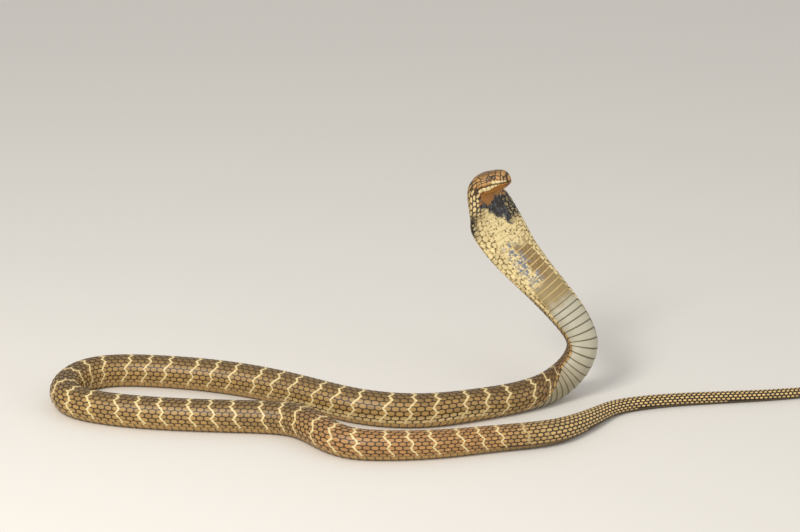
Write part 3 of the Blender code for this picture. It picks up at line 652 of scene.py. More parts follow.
def make_object(name, vertices, faces, attributes, uv=None):
    """An object from arrays: vertices in metres, faces as an array or a list of index tuples."""
    mesh = bpy.data.meshes.new(name)
    flat = np.fromiter((i for face in faces for i in face), np.int32)
    sizes = np.array([len(face) for face in faces], np.int32)
    mesh.vertices.add(len(vertices))
    mesh.vertices.foreach_set("co", np.asarray(vertices, np.float32).ravel())
    mesh.loops.add(len(flat))
    mesh.loops.foreach_set("vertex_index", flat)
    mesh.polygons.add(len(sizes))
    mesh.polygons.foreach_set("loop_start", np.concatenate(([0], np.cumsum(sizes)[:-1])).astype(np.int32))
    mesh.polygons.foreach_set("loop_total", sizes)
    mesh.update(calc_edges=True)
    for key, values in attributes.items():
        layer = mesh.attributes.new(key, "FLOAT", "POINT")
        layer.data.foreach_set("value", np.asarray(values, np.float32).ravel())
    if uv is not None:
        layer = mesh.uv_layers.new(name="OFBake")
        layer.data.foreach_set("uv", np.asarray(uv, np.float32).ravel())
    mesh.validate()
    item = bpy.data.objects.new(name, mesh)
    bpy.context.scene.collection.objects.link(item)
    mesh.shade_smooth()
    mesh.set_sharp_from_angle(angle=math.radians(50.0))
    return item


def place_marks(at, angle, girth):
    """The attributes from which the markings are drawn."""
    return {
        "behind": np.asarray(at) * MM,
        "turn": np.abs(angle) / 180.0,
        "across": np.sin(np.radians(angle)),
        "girth": np.abs(girth),
        "lane": COAT.lane(at, girth),
    }


# The bake map: the body is laid out in a few strips, one over the other
STRIPS = 4


def strip_spot(at, girth, start, end, strip=None):
    """Place on the bake map for a place on the body, within the stretch from start to end."""
    share = np.clip((at - start) / (end - start), 0.0, 1.0) * STRIPS
    if strip is None:
        strip = np.clip(np.floor(share), 0, STRIPS - 1)
    u = 0.01 + 0.98 * np.clip(share - strip, 0.0, 1.0)
    v = (strip + 0.04 + 0.92 * (girth + 2.0) / 4.0) / STRIPS
    return np.stack((u, v), axis=-1)


def skin_places():
    """Places of the skin's rings, closer together where the form is finer."""
    tip = 8.0 * np.linspace(0.0, 1.0, 17) ** 2
    return np.concatenate((tip, np.arange(8.8, 66.0, 0.8), np.arange(66.5, 120.0, 1.5),
                           np.arange(121.0, 560.0, 3.0), np.arange(562.0, SPINE.length - 3.0, 5.0),
                           [SPINE.length - 1.5, SPINE.length]))


SKIN_SIDES = 96


def make_skin():
    """One closed skin from the snout to the tip of the tail."""
    places = skin_places()
    count = len(places)
    bm = bmesh.new()
    bmesh.ops.create_grid(bm, x_segments=count - 1, y_segments=SKIN_SIDES, size=1.0)
    mesh = bpy.data.meshes.new("skin")
    bm.to_mesh(mesh)
    bm.free()
    flat = np.zeros(len(mesh.vertices) * 3)
    mesh.vertices.foreach_get("co", flat)
    flat = flat.reshape(-1, 3)
    ring = np.rint((flat[:, 0] + 1.0) / 2.0 * (count - 1)).astype(int)
    side = np.rint((flat[:, 1] + 1.0) / 2.0 * SKIN_SIDES).astype(int)
    at = places[ring]
    share = side / SKIN_SIDES * 2.0 - 1.0
    girth = share * 2.0
    body_angle = COAT.angle(at, girth)
    head_angle = np.sign(share) * head_turn(np.abs(share))
    blend = smooth_step((at - 55.0) / 45.0)
    angle = head_angle + (body_angle - head_angle) * blend
    proud = SKIN_DEPTH + head_form(at, angle)
    spots = SPINE.points(at, angle, proud)
    polygons = np.zeros(len(mesh.loops), np.int32)
    mesh.loops.foreach_get("vertex_index", polygons)
    faces = polygons.reshape(-1, 4)
    strip = np.clip(np.floor(at[faces].mean(axis=1) / SPINE.length * STRIPS), 0, STRIPS - 1)
    uv = strip_spot(at[faces], girth[faces], 0.0, SPINE.length, strip[:, None])
    bpy.data.meshes.remove(mesh)
    marks = place_marks(at, angle, COAT.girth(at, angle))
    marks["rim"] = np.ones(len(at))
    skin = make_object("skin", spots, faces, marks, uv)
    bm = bmesh.new()
    bm.from_mesh(skin.data)
    bmesh.ops.remove_doubles(bm, verts=bm.verts, dist=2e-6)
    ends = bmesh.ops.holes_fill(bm, edges=[edge for edge in bm.edges if edge.is_boundary], sides=0)
    layer = bm.loops.layers.uv["OFBake"]
    for face, left in zip(ends["faces"], (0.004, 0.996)):
        for i, loop in enumerate(face.loops):
            turn = 2.0 * math.pi * i / len(face.loops)
            loop[layer].uv = left + 0.003 * math.cos(turn), 0.5 + 0.003 * math.sin(turn)
    bmesh.ops.recalc_face_normals(bm, faces=bm.faces)
    bm.to_mesh(skin.data)
    bm.free()
    skin.data.set_sharp_from_angle(angle=math.pi)
    return skin


def head_turn(share):
    """Angles of the head's lengthwise lines, closer together at the line of the mouth."""
    keys = ((0.0, 0.0), (0.26, 44.0), (0.41, 70.0), (0.47, 83.5), (0.5, 87.0), (0.535, 90.0), (0.57, 93.0),
            (0.60, 96.5), (0.66, 108.0), (1.0, 180.0))
    return steps(keys, share)


def scale_form():
    """The form of one scale: a domed plate with its root drawn down, in a unit circle."""
    bm = bmesh.new()
    bmesh.ops.create_circle(bm, cap_ends=True, segments=SCALE_SIDES, radius=1.0)
    inset = bmesh.ops.inset_region(bm, faces=bm.faces[:], thickness=SCALE_RIM, depth=0.0)
    middle = [f for f in bm.faces if f not in inset["faces"]]
    poked = bmesh.ops.poke(bm, faces=middle)
    for vert in bm.verts:
        vert.co.z = 1.0 if vert.co.xy.length < 0.99 else 0.0
    for vert in poked["verts"]:
        vert.co.z = SCALE_PEAK
    edges = [edge for edge in bm.edges if edge.is_boundary]
    grown = bmesh.ops.extrude_edge_only(bm, edges=edges)
    rim = [v for v in grown["geom"] if isinstance(v, bmesh.types.BMVert)]
    for vert in rim:
        vert.co.x *= SCALE_TAPER
        vert.co.y *= SCALE_TAPER
        vert.co.z = -1.0
    floor_edges = [edge for edge in bm.edges if edge.is_boundary]
    bmesh.ops.holes_fill(bm, edges=floor_edges, sides=0)
    bmesh.ops.recalc_face_normals(bm, faces=bm.faces)
    bm.verts.index_update()
    points = np.array([vert.co[:] for vert in bm.verts])
    faces = [tuple(vert.index for vert in f.verts) for f in bm.faces]
    # On the bake map the wall lies round the plate, and the floor beside them
    spots = []
    for f in faces:
        below = all(points[i, 2] < -0.5 for i in f)
        for i in f:
            x, y, z = points[i]
            reach = math.hypot(x, y)
            if below:
                spots.append((1.5 + 0.45 * x, 0.45 * y))
            elif z < -0.5:
                spots.append((x / reach, y / reach))
            else:
                spots.append((0.82 * x, 0.82 * y))
    bm.free()
    return points, faces, np.array(spots)


def rhomb(points, power):
    """Turns a unit circle's points towards a rounded diamond."""
    x, y = points[:, 0], points[:, 1]
    reach = np.hypot(x, y)
    turn = np.arctan2(y, x)
    grow = (np.abs(np.cos(turn)) ** power + np.abs(np.sin(turn)) ** power) ** (-1.0 / power)
    return reach * np.cos(turn) * grow, reach * np.sin(turn) * grow, reach


PATCH = 0.0016                      # half the breadth of a scale's patch on the bake map
SCALE_SIDES = 12
SCALE_RIM = 0.34                    # breadth of the sloping rim, in a unit circle
SCALE_PEAK = 1.35                   # height of the middle, where the ring inside the rim is at 1
SCALE_TAPER = 0.94                  # how the root narrows
SCALE_POWER = 2.6                   # 2 would be an ellipse, and more is squarer
FULL_PITCH = 12.0                   # scales and scutes in shorter segments stand out less
NECK_TUCK = 0.5                     # how far the first scales' middles lie ahead of the neck's edge
# Where the body's scales begin behind the shields: degrees from the crown, and distance over the skin
NECK_EDGE = ((0, 69.0), (20, 70.0), (41, 65.5), (60, 66.0), (78, 65.0), (86, 58.0), (118, 57.0), (180, 57.0))
CHIN_ROWS = 7
CHIN_PITCH = 4.4
CHIN_SPAN = 70.0                    # degrees from the middle of the chin to its outer rows
CHIN_FIRST = 8.0                    # where the rows start behind the snout
CHIN_MOST = 40                      # places tried along a row
CHIN_HALF = (3.4, 0.56)             # half width in degrees and half length in pitches
CHIN_SIZE = 0.55                    # how far they stand out, beside a scale of the body
CHIN_GIRTH = 1.6                    # they take the throat's markings
CHIN_EDGE = ((0, 108.0), (20, 114.0), (44, 116.0), (60, 121.0), (90, 121.0))    # side of the chin's scales
CHIN_MARGIN = 2.5                   # degrees kept free beside that edge
CHIN_SHIELDS = (6.5, 35.5, 147.0)   # the stretch that the chin shields take, and the angle where they start
CHIN_END = 86.0


def coat_scales(name, at, angle, girth, size, spot):
    """Joins scales in one mesh: at, angle and girth hold a row of points for each scale."""
    points, faces, patch = scale_form()
    dome = settings().scale_dome / MM
    v, reach = rhomb(points, SCALE_POWER)[1:]
    count = len(at)
    at, angle, girth = at.ravel(), angle.ravel(), girth.ravel()
    size = np.repeat(size, len(points))
    proud = SCALE_FRONT + (SCALE_BACK - SCALE_FRONT) * np.tile((v + 1.0) / 2.0, count) * size
    proud += np.tile(np.maximum(points[:, 2], 0.0), count) * dome * size
    rooted = np.tile(points[:, 2] < 0.0, count)
    proud = np.where(rooted, SCALE_ROOT, proud) + head_form(at, angle)
    marks = place_marks(at, angle, girth)
    marks["rim"] = np.where(rooted, 1.0, np.tile(reach, count))
    marks["seed"] = np.repeat(np.random.default_rng(7).random(count), len(points))
    starts = range(0, count * len(points), len(points))
    all_faces = [tuple(i + start for i in face) for start in starts for face in faces]
    uv = (spot[:, None, :] + patch[None, :, :] * PATCH).reshape(-1, 2)
    return make_object(name, SPINE.points(at, angle, proud), all_faces, marks, np.clip(uv, 0.0, 1.0))


def make_scales(name, start, end):
    """Back scales from start to end: every scale is a thin domed plate that laps over the next."""
    u, v = rhomb(scale_form()[0], SCALE_POWER)[:2]
    segments = np.arange(math.ceil(COAT.segment(start)), math.floor(COAT.segment(end)) + 1.0)
    most = max(key[1] for key in ROWS) // 2
    centre, row = np.meshgrid(segments, np.arange(-most, most + 1.0))
    centre = (centre + 0.5 * (row % 2)).ravel()
    row = row.ravel()
    place = COAT.place(centre)
    angle = COAT.angle(place, row * 2.0 / steps(ROWS, place))
    kept = (np.abs(row) <= (steps(ROWS, place) - 1.0) / 2.0 + 0.3) & (place >= start) & (place < end)
    kept &= place > along(steps(NECK_EDGE, np.abs(angle)) - NECK_TUCK, angle)
    centre, row, place = centre[kept], row[kept], place[kept]
    at = COAT.place(centre[:, None] + v * settings().scale_length / 2.0)
    girth = (row[:, None] + u * settings().scale_width / 2.0) * 2.0 / steps(ROWS, at)
    size = np.clip(steps(PITCH, place) / FULL_PITCH, 0.3, 1.0)
    spot = strip_spot(place, row * 2.0 / steps(ROWS, place), start, end)
    return coat_scales(name, at, COAT.angle(at, girth), girth, size, spot)


def make_chin_scales():
    """Small scales under the chin, round the chin shields and back to the first scute."""
    u, v = rhomb(scale_form()[0], SCALE_POWER)[:2]
    half_width, half_length = CHIN_HALF
    first, last, inner = CHIN_SHIELDS
    places, turns = [], []
    for row in range(-2 * CHIN_ROWS, 2 * CHIN_ROWS + 1):
        turn = 180.0 - abs(row) * CHIN_SPAN / (2 * CHIN_ROWS)
        for i in range(CHIN_MOST):
            distance = CHIN_FIRST + CHIN_PITCH * (i + 0.5 * (row % 2))
            place = float(along([distance], [turn])[0])
            under_shield = first < distance < last and turn > inner
            if place < CHIN_END and turn > steps(CHIN_EDGE, place) + CHIN_MARGIN and not under_shield:
                places.append(distance)
                turns.append(math.copysign(turn, row + 0.5))
    places, turns = np.array(places), np.array(turns)
    side = np.where(turns < 0, -1.0, 1.0)
    angle = turns[:, None] + side[:, None] * u * half_width
    distance = places[:, None] + v * CHIN_PITCH * half_length
    at = along(distance.ravel(), angle.ravel()).reshape(angle.shape)
    girth = np.full(at.shape, CHIN_GIRTH)
    size = np.full(len(places), CHIN_SIZE)
    spot = np.stack((0.1 + 0.8 * places / places.max(), 0.5 + side * (180.0 - np.abs(turns)) / 160.0), axis=1)
    return coat_scales("chin_scales", at, angle, girth, size, spot)


SCUTE_SHARES = (-0.12, 0.25, 0.62, 0.86, 0.96, 1.06, 1.10)      # lines across a scute, in its pitch
SCUTE_LIFTS = (0.0, 0.35, 0.72, 0.95, 1.0, 0.9, 0.45)
SCUTE_BACK = 0.25
SCUTE_SHORT = 0.95                  # length at the ends, in its pitch
SCUTE_BOW = 0.10                    # how much longer it is in the middle
SCUTE_THIN = 0.35                   # thickness at the ends, beside the middle's
SCUTE_BEVEL = 0.04                  # share of the half width over which it thins
SCUTE_SPAN = 1.04                   # half width in girth, a little under the first row of scales
SCUTE_SEAM_FROM = 0.84              # share of the pitch where the rear seam's mark begins
SCUTE_SEAM_SOFT = 0.14              # share of the pitch over which it grows
SCUTE_SEAM_END = 1.0 / 12.0         # share of the half width that the seam's mark takes at the ends


def scute_places(start, end):
    """Front edges of the belly scutes, one to a segment."""
    first, last = COAT.segment(start), COAT.segment(end)
    count = max(1, round(last - first))
    return COAT.place(np.linspace(first, last, count + 1))


def make_scutes(name, start, end, across):
    """Belly scutes: wide plates, each lapping over the next, with a thin rounded rear edge."""
    fronts = scute_places(start, end)
    count = len(fronts) - 1
    bm = bmesh.new()
    bmesh.ops.create_grid(bm, x_segments=len(SCUTE_SHARES) - 1, y_segments=across, size=1.0)
    points, faces = closed_plate(bm)
    faces = np.array([tuple(reversed(face)) for face in faces])
    ring = np.rint((points[:, 0] + 1.0) / 2.0 * (len(SCUTE_SHARES) - 1)).astype(int)
    share = np.array(SCUTE_SHARES)[ring]
    side = points[:, 1]
    below = points[:, 2] < 0.0
    pitch = np.diff(fronts)[:, None]
    at = fronts[:-1, None] + pitch * share * (SCUTE_SHORT + SCUTE_BOW * (1.0 - side ** 2))
    edge = SCUTE_THIN + (1.0 - SCUTE_THIN) * np.clip((1.0 - np.abs(side)) / SCUTE_BEVEL, 0.0, 1.0)
    lift = np.array(SCUTE_LIFTS)[ring] * edge * np.minimum(1.0, pitch / FULL_PITCH)
    proud = np.where(below, SCALE_ROOT, SCALE_FRONT + (SCUTE_BACK - SCALE_FRONT) * lift)
    girth = np.tile(2.0 - np.abs(side) * SCUTE_SPAN, count)
    at = at.ravel()
    facing = np.tile(np.where(side < 0, -1.0, 1.0), count)
    angle = np.where(girth > 1.9999, 180.0, COAT.angle(at, girth * facing))
    marks = place_marks(at, angle, girth)
    rim = np.maximum((share - SCUTE_SEAM_FROM) / SCUTE_SEAM_SOFT, (np.abs(side) - 1.0) / SCUTE_SEAM_END + 1.0)
    marks["rim"] = np.tile(np.clip(rim, 0.0, 1.0), count)
    marks["seed"] = np.repeat(np.random.default_rng(11).random(count), len(points))
    grow = np.where(below, 1.05, 1.0)
    cell = 0.5 + (share - 0.49) / 1.22 * 0.92 * grow
    u = (np.arange(count)[:, None] + cell) / count
    uv = np.stack((u.ravel(), np.tile(0.5 + side * 0.46 * grow, count)), axis=1)
    all_faces = (faces[None] + (np.arange(count) * len(points))[:, None, None]).reshape(-1, 4)
    return make_object(name, SPINE.points(at, angle, proud), all_faces, marks, uv[all_faces.ravel()])


# Materials

def tone(red, green, blue):
    """A colour given as an eye reads it, 0 to 255, turned to the linear values that the shader takes."""
    share = np.array((red, green, blue)) / 255.0
    linear = np.where(share <= 0.04045, share / 12.92, ((share + 0.055) / 1.055) ** 2.4)
    return (*[float(v) for v in linear], 1.0)


class Graph:
    """Places nodes in a tree and joins them."""

    def __init__(self, tree):
        self.tree = tree
        self.made = 0

    def node(self, kind, **options):
        item = self.tree.nodes.new(kind)
        item.location = (220 * (self.made % 12), -220 * (self.made // 12))
        self.made += 1
        for key, value in options.items():
            setattr(item, key, value)
        return item

    def mark(self, key):
        """The value that a mesh's points carry under this name."""
        return self.node("ShaderNodeAttribute", attribute_name=key.lower()).outputs["Fac"]

    def feed(self, socket, value):
        if isinstance(value, bpy.types.NodeSocket):
            self.tree.links.new(value, socket)
        else:
            socket.default_value = value

    def math(self, operation, first, second=0.0):
        item = self.node("ShaderNodeMath", operation=operation)
        self.feed(item.inputs[0], first)
        self.feed(item.inputs[1], second)
        return item.outputs[0]

    def times(self, first, second):
        return self.math("MULTIPLY", first, second)

    def relief(self, principled, height, strength, distance):
        item = self.node("ShaderNodeBump")
        item.inputs["Strength"].default_value = strength
        item.inputs["Distance"].default_value = distance
        self.feed(item.inputs["Height"], height)
        self.feed(principled.inputs["Normal"], item.outputs["Normal"])

    def ramp(self, value, low, high, out_low=0.0, out_high=1.0):
        item = self.node("ShaderNodeMapRange", interpolation_type="SMOOTHSTEP")
        for key, given in (("Value", value), ("From Min", low), ("From Max", high), ("To Min", out_low),
                           ("To Max", out_high)):
            self.feed(item.inputs[key], given)
        return item.outputs["Result"]

    def window(self, value, start, end, soft):
        """1 between start and end, 0 outside, with soft edges."""
        opening = self.ramp(value, start - soft, start + soft)
        return self.times(opening, self.ramp(value, end + soft, end - soft))

    def mix(self, share, first, second, blend="MIX"):
        item = self.node("ShaderNodeMix", data_type="RGBA", blend_type=blend)
        self.feed(item.inputs[0], share)
        self.feed(item.inputs[6], first)
        self.feed(item.inputs[7], second)
        return item.outputs[2]

    def noise(self, vector, scale, detail=2.0, roughness=0.5):
        item = self.node("ShaderNodeTexNoise")
        self.feed(item.inputs["Vector"], vector)
        self.feed(item.inputs["Scale"], scale)
        self.feed(item.inputs["Detail"], detail)
        self.feed(item.inputs["Roughness"], roughness)
        return item.outputs["Fac"]


# Tones beside the ones that a user may change
BUFF = tone(218, 192, 132)
OLIVE = tone(118, 94, 48)
BLACKISH = tone(34, 26, 18)
# painted shade: dark brown for the back edge of the raised neck
NECK_PAINTED_SHADE = tone(112, 84, 48)
LOW = tone(188, 150, 86)
PALE_LOW = tone(216, 188, 128)
CHIN_SEAM = tone(122, 76, 32)
BLUE_GREY = tone(118, 123, 134)
BROWN = tone(134, 102, 56)
TAUPE = tone(150, 130, 88)
SHADED = tone(158, 148, 120)
SCUTE_SEAM = tone(90, 78, 56)
SNOUT_TAN = tone(188, 144, 88)
PUPIL = tone(6, 5, 4)
IRIS_DARK = tone(84, 52, 20)
EYE_EDGE = tone(24, 16, 10)
PUPIL_EDGE = (24.0, 26.0)           # degrees from the eye's pole
IRIS_EDGE = (33.0, 38.0)

# Where the markings lie, in metres behind the snout
ZONES = {
    "bands": (0.47, 2.38),
    "bands across the back": (0.14, 2.38),
    "pale lower sides": (0.64, 1.0),
    # painted shade over a stretch of the lying body
    "stretch in painted shade": (1.80, 2.02),
    "red brown stretch": (2.0, 2.36),
    # painted shade along the back edge of the raised neck
    "painted shade on the back of the neck": (0.30, 0.54),
    "start of the tail": (2.30, 2.56),
    "hood": (0.094, 0.34),
    "dark strip": (0.084, 0.134),
    "dark strip on the left": (0.072, 0.140),
    "start of the brown": (0.174, 0.196),
    "blue patches": (0.174, 0.290),
    "start of the taupe": (0.250, 0.280),
    "start of the silver": (0.295, 0.335),
    "start of the shaded belly": (0.40, 0.50),
    "start of the tan belly": (0.52, 0.66),
    "start of the dark belly": (2.2, 2.5),
    "pale upper lip": (0.003, 0.029),
    # painted light along the upper edge of the lower lip
    "start of the painted light on the lower lip": (0.008, 0.020),
}


def open_group(name, inputs, outputs):
    """A node group with number inputs and a vector, and the given outputs."""
    tree = bpy.data.node_groups.new(name, "ShaderNodeTree")
    for key in inputs:
        tree.interface.new_socket(key, in_out="INPUT", socket_type="NodeSocketFloat")
    tree.interface.new_socket("Vector", in_out="INPUT", socket_type="NodeSocketVector")
    for key, kind in outputs:
        tree.interface.new_socket(key, in_out="OUTPUT", socket_type=kind)
    g = Graph(tree)
    return tree, g, g.node("NodeGroupInput").outputs


def scale_tones(g, given, fine, speck):
    """Colours of the back's and sides' scales."""
    look = settings()
    behind, turn, girth, rim = given["Behind"], given["Turn"], given["Girth"], given["Rim"]
    number = g.math("ROUND", g.math("DIVIDE", given["Lane"], BAND_EVERY))
    place = g.math("ROUND", g.math("MULTIPLY", number, BAND_EVERY))
    off = g.math("ABSOLUTE", g.math("SUBTRACT", g.math("SUBTRACT", given["Lane"], place), 0.5))
    off = g.math("ADD", off, g.times(g.math("SUBTRACT", speck, 0.5), 0.50))
    band = g.times(g.ramp(off, 0.21, 0.10), g.window(behind, *ZONES["bands"], 0.06))
    crossing = g.times(g.ramp(off, 0.24, 0.12), g.window(behind, *ZONES["bands across the back"], 0.03))
    band = g.math("MAXIMUM", band, g.times(crossing, g.ramp(girth, 0.52, 0.40)))

    centre = g.mix(g.ramp(girth, 0.12, 0.50), look.back, look.flank)
    centre = g.mix(g.times(g.ramp(girth, 0.80, 0.96), 0.6), centre, LOW)
    pale = g.times(g.window(behind, *ZONES["pale lower sides"], 0.05), g.ramp(girth, 0.70, 0.86))
    centre = g.mix(pale, centre, PALE_LOW)
    # Painted shade: a stretch of the lying body is darkened towards the back's tone
    centre = g.mix(g.times(g.window(behind, *ZONES["stretch in painted shade"], 0.05), 0.4), centre, look.back)
    centre = g.mix(g.times(g.window(behind, *ZONES["red brown stretch"], 0.08), 0.8), centre, look.rear)
    # Painted shade: the back edge of the raised neck is darkened to dark brown
    shade = g.times(g.window(behind, *ZONES["painted shade on the back of the neck"], 0.05), g.ramp(girth, 0.96, 0.80))
    centre = g.mix(shade, centre, NECK_PAINTED_SHADE)
    tail = g.ramp(behind, *ZONES["start of the tail"])
    centre = g.mix(tail, centre, look.tail_spots)

    # The neck's sides are cream squares on brown, the hood's sides cream with dark specks
    neck = g.times(g.ramp(behind, 0.100, 0.088), g.ramp(turn, 0.30, 0.40))
    brink = g.ramp(behind, 0.14, 0.32, 0.46, 0.84)
    front = g.ramp(g.math("SUBTRACT", girth, brink), -0.05, 0.07)
    hood = g.times(g.window(behind, *ZONES["hood"], 0.03), front)
    centre = g.mix(neck, centre, BUFF)
    centre = g.mix(hood, centre, look.cream)
    left = g.ramp(given["Across"], 0.1, -0.1)
    strip = g.times(g.window(behind, *ZONES["dark strip"], 0.010), g.ramp(girth, 0.84, 0.72))
    strip = g.math("MAXIMUM", strip, g.times(left, g.window(behind, *ZONES["dark strip on the left"], 0.010)))
    strip = g.times(strip, g.ramp(girth, 0.20, 0.34))
    light = g.math("ADD", 0.84, g.times(given["Seed"], 0.32))
    light = g.times(light, g.math("ADD", 0.84, g.times(fine, 0.32)))
    centre = g.mix(1.0, centre, light, "MULTIPLY")

    broken = g.mix(g.ramp(speck, 0.44, 0.56), BUFF, OLIVE)
    margin = g.mix(g.times(hood, 0.92), g.mix(tail, look.seams, BLACKISH), broken)
    fleck = g.times(g.times(hood, g.ramp(speck, 0.56, 0.62)), 0.70)
    centre = g.mix(fleck, centre, OLIVE)
    centre = g.mix(g.times(strip, g.ramp(speck, 0.60, 0.50)), centre, BLACKISH)
    margin = g.mix(strip, margin, BLACKISH)
    edge = g.ramp(behind, 2.26, 2.60, 0.78, 0.60)
    edge = g.math("SUBTRACT", edge, g.times(neck, 0.10))
    share = g.ramp(rim, g.math("SUBTRACT", edge, 0.12), g.math("ADD", edge, 0.06))
    colour = g.mix(share, centre, margin)
    plain = g.math("SUBTRACT", 1.0, g.math("MAXIMUM", hood, neck))
    return g.mix(g.times(band, plain), colour, look.cream)


def scute_tones(g, given, fine, speck, ragged):
    """Colours of the throat, the hood's front and the belly."""
    look = settings()
    side = g.times(g.math("SIGN", given["Across"]), g.math("SUBTRACT", 2.0, given["Girth"]))
    patch = g.noise(given["Vector"], 95.0, 1.0)
    pale = g.mix(g.times(g.ramp(speck, 0.55, 0.61), 0.80), look.cream, look.seams)
    leftward = g.ramp(g.math("ADD", side, g.times(patch, 0.8)), 0.62, 0.30)
    brown = g.times(g.ramp(ragged, *ZONES["start of the brown"]), leftward)
    centre = g.mix(brown, pale, g.mix(g.ramp(speck, 0.40, 0.62), BROWN, TAUPE))
    blue = g.times(g.window(ragged, *ZONES["blue patches"], 0.010), g.window(side, -0.20, 0.90, 0.15))
    mottle = g.times(g.ramp(patch, 0.42, 0.52), g.ramp(speck, 0.40, 0.50))
    centre = g.mix(g.times(blue, mottle), centre, BLUE_GREY)
    centre = g.mix(g.ramp(ragged, *ZONES["start of the taupe"]), centre, TAUPE)
    centre = g.mix(g.ramp(ragged, *ZONES["start of the silver"]), centre, look.silver)
    centre = g.mix(g.ramp(given["Behind"], *ZONES["start of the shaded belly"]), centre, SHADED)
    centre = g.mix(g.ramp(given["Behind"], *ZONES["start of the tan belly"]), centre, LOW)
    centre = g.mix(g.times(g.ramp(given["Behind"], *ZONES["start of the dark belly"]), 0.8), centre, BLACKISH)
    light = g.math("ADD", 0.88, g.times(fine, 0.24))
    centre = g.mix(1.0, centre, light, "MULTIPLY")
    seam = g.mix(g.ramp(given["Behind"], 0.29, 0.33), BUFF, SCUTE_SEAM)
    colour = g.mix(g.times(g.ramp(given["Rim"], 0.45, 0.95), 0.9), centre, seam)

    # The dark band across the throat, deeper on the left
    reach = g.ramp(side, 0.8, -0.8, 0.092, 0.140)
    slate = g.ramp(g.math("SUBTRACT", ragged, reach), 0.004, -0.004)
    tint = g.mix(g.ramp(patch, 0.46, 0.60), BLACKISH, look.slate)
    tint = g.mix(g.times(g.ramp(speck, 0.56, 0.62), 0.55), tint, BLUE_GREY)
    return g.mix(slate, colour, tint)


def lit_jaw_band_foot(g, behind):
    """How far round the lower jaw its cream band of painted light reaches; the orange painted shade lies
    below it.
    """
    return g.ramp(behind, 0.010, 0.046, 0.512, 0.665)


def group_markings():
    """Colours of the body, from where a point lies on the animal."""
    kinds = (("Colour", "NodeSocketColor"), ("Roughness", "NodeSocketFloat"), ("Height", "NodeSocketFloat"))
    tree, g, given = open_group("cobra markings", MARKS, kinds)
    fine = g.noise(given["Vector"], 700.0, 3.0)
    speck = g.noise(given["Vector"], 230.0, 2.0, 0.6)
    coarse = g.noise(given["Vector"], 55.0, 2.0)
    ragged = g.math("ADD", given["Behind"], g.times(g.math("SUBTRACT", coarse, 0.5), 0.05))
    colour = scale_tones(g, given, fine, speck)
    colour = g.mix(g.ramp(given["Girth"], 0.985, 1.005), colour, scute_tones(g, given, fine, speck, ragged))
    beside = g.ramp(given["Across"], 0.4, -0.4, 0.058, 0.096)
    throat = g.ramp(given["Turn"], 0.60, 1.00, beside, 0.088)
    chin = g.ramp(g.math("SUBTRACT", ragged, throat), 0.003, -0.003)
    chin = g.times(chin, g.ramp(given["Turn"], 0.56, 0.60))
    # Under the head: a cream band of painted light above, and below it orange painted shade warmed by light
    # reflected from the ground
    jaw = g.ramp(g.math("SUBTRACT", given["Turn"], lit_jaw_band_foot(g, given["Behind"])), 0.010, -0.010)
    under = g.mix(g.ramp(given["Rim"], 0.70, 0.95), g.mix(jaw, settings().chin, BUFF), CHIN_SEAM)
    under = g.mix(1.0, under, g.math("ADD", 0.80, g.times(speck, 0.40)), "MULTIPLY")
    colour = g.mix(chin, colour, under)
    leaving = g.node("NodeGroupOutput")
    g.feed(leaving.inputs["Colour"], colour)
    g.feed(leaving.inputs["Roughness"], g.math("ADD", 0.36, g.times(fine, 0.22)))
    g.feed(leaving.inputs["Height"], fine)
    return tree


def shield_material():
    """Tan horn with dark seams, cream along the lips, where the lower lip's cream band is painted light, and
    orange under the chin, which is painted shade warmed by light reflected from the ground.
    """
    shade, g, principled = new_material("shield_horn")
    look = settings()
    behind, turn, rim, seed = [g.mark(key) for key in ("Behind", "Turn", "Rim", "Seed")]
    place = g.node("ShaderNodeTexCoord").outputs["Object"]
    fine = g.noise(place, 500.0, 3.0)
    cloud = g.noise(place, 130.0, 2.0)
    colour = g.mix(g.ramp(turn, 0.12, 0.32), look.crown, look.cheek)
    colour = g.mix(g.ramp(behind, 0.026, 0.006, 0.0, 0.7), colour, SNOUT_TAN)
    upper = g.times(g.window(turn, 0.428, 0.497, 0.008), g.window(behind, *ZONES["pale upper lip"], 0.003))
    colour = g.mix(upper, colour, look.cream)
    # The orange under the chin is painted shade warmed by light reflected from the ground
    lower = g.ramp(turn, 0.498, 0.504)
    colour = g.mix(lower, colour, look.chin)
    # The cream band along the upper edge of the lower lip is painted light
    above = g.ramp(g.math("SUBTRACT", turn, lit_jaw_band_foot(g, behind)), 0.008, -0.008)
    cream = g.times(lower, g.ramp(behind, *ZONES["start of the painted light on the lower lip"]))
    colour = g.mix(g.times(cream, above), colour, look.cream)
    colour = g.mix(1.0, colour, g.math("ADD", 0.84, g.times(seed, 0.24)), "MULTIPLY")
    colour = g.mix(1.0, colour, g.math("ADD", 0.80, g.times(cloud, 0.40)), "MULTIPLY")
    edge = g.ramp(turn, 0.38, 0.46, 0.34, 0.72)
    seam = g.mix(g.ramp(turn, 0.52, 0.58), look.seams, CHIN_SEAM)
    colour = g.mix(g.ramp(g.math("SUBTRACT", rim, edge), 0.0, 0.16), colour, seam)
    g.feed(principled.inputs["Base Color"], colour)
    g.feed(principled.inputs["Roughness"], g.math("ADD", 0.30, g.times(fine, 0.2)))
    g.relief(principled, fine, 0.25, 0.0002)
    return shade


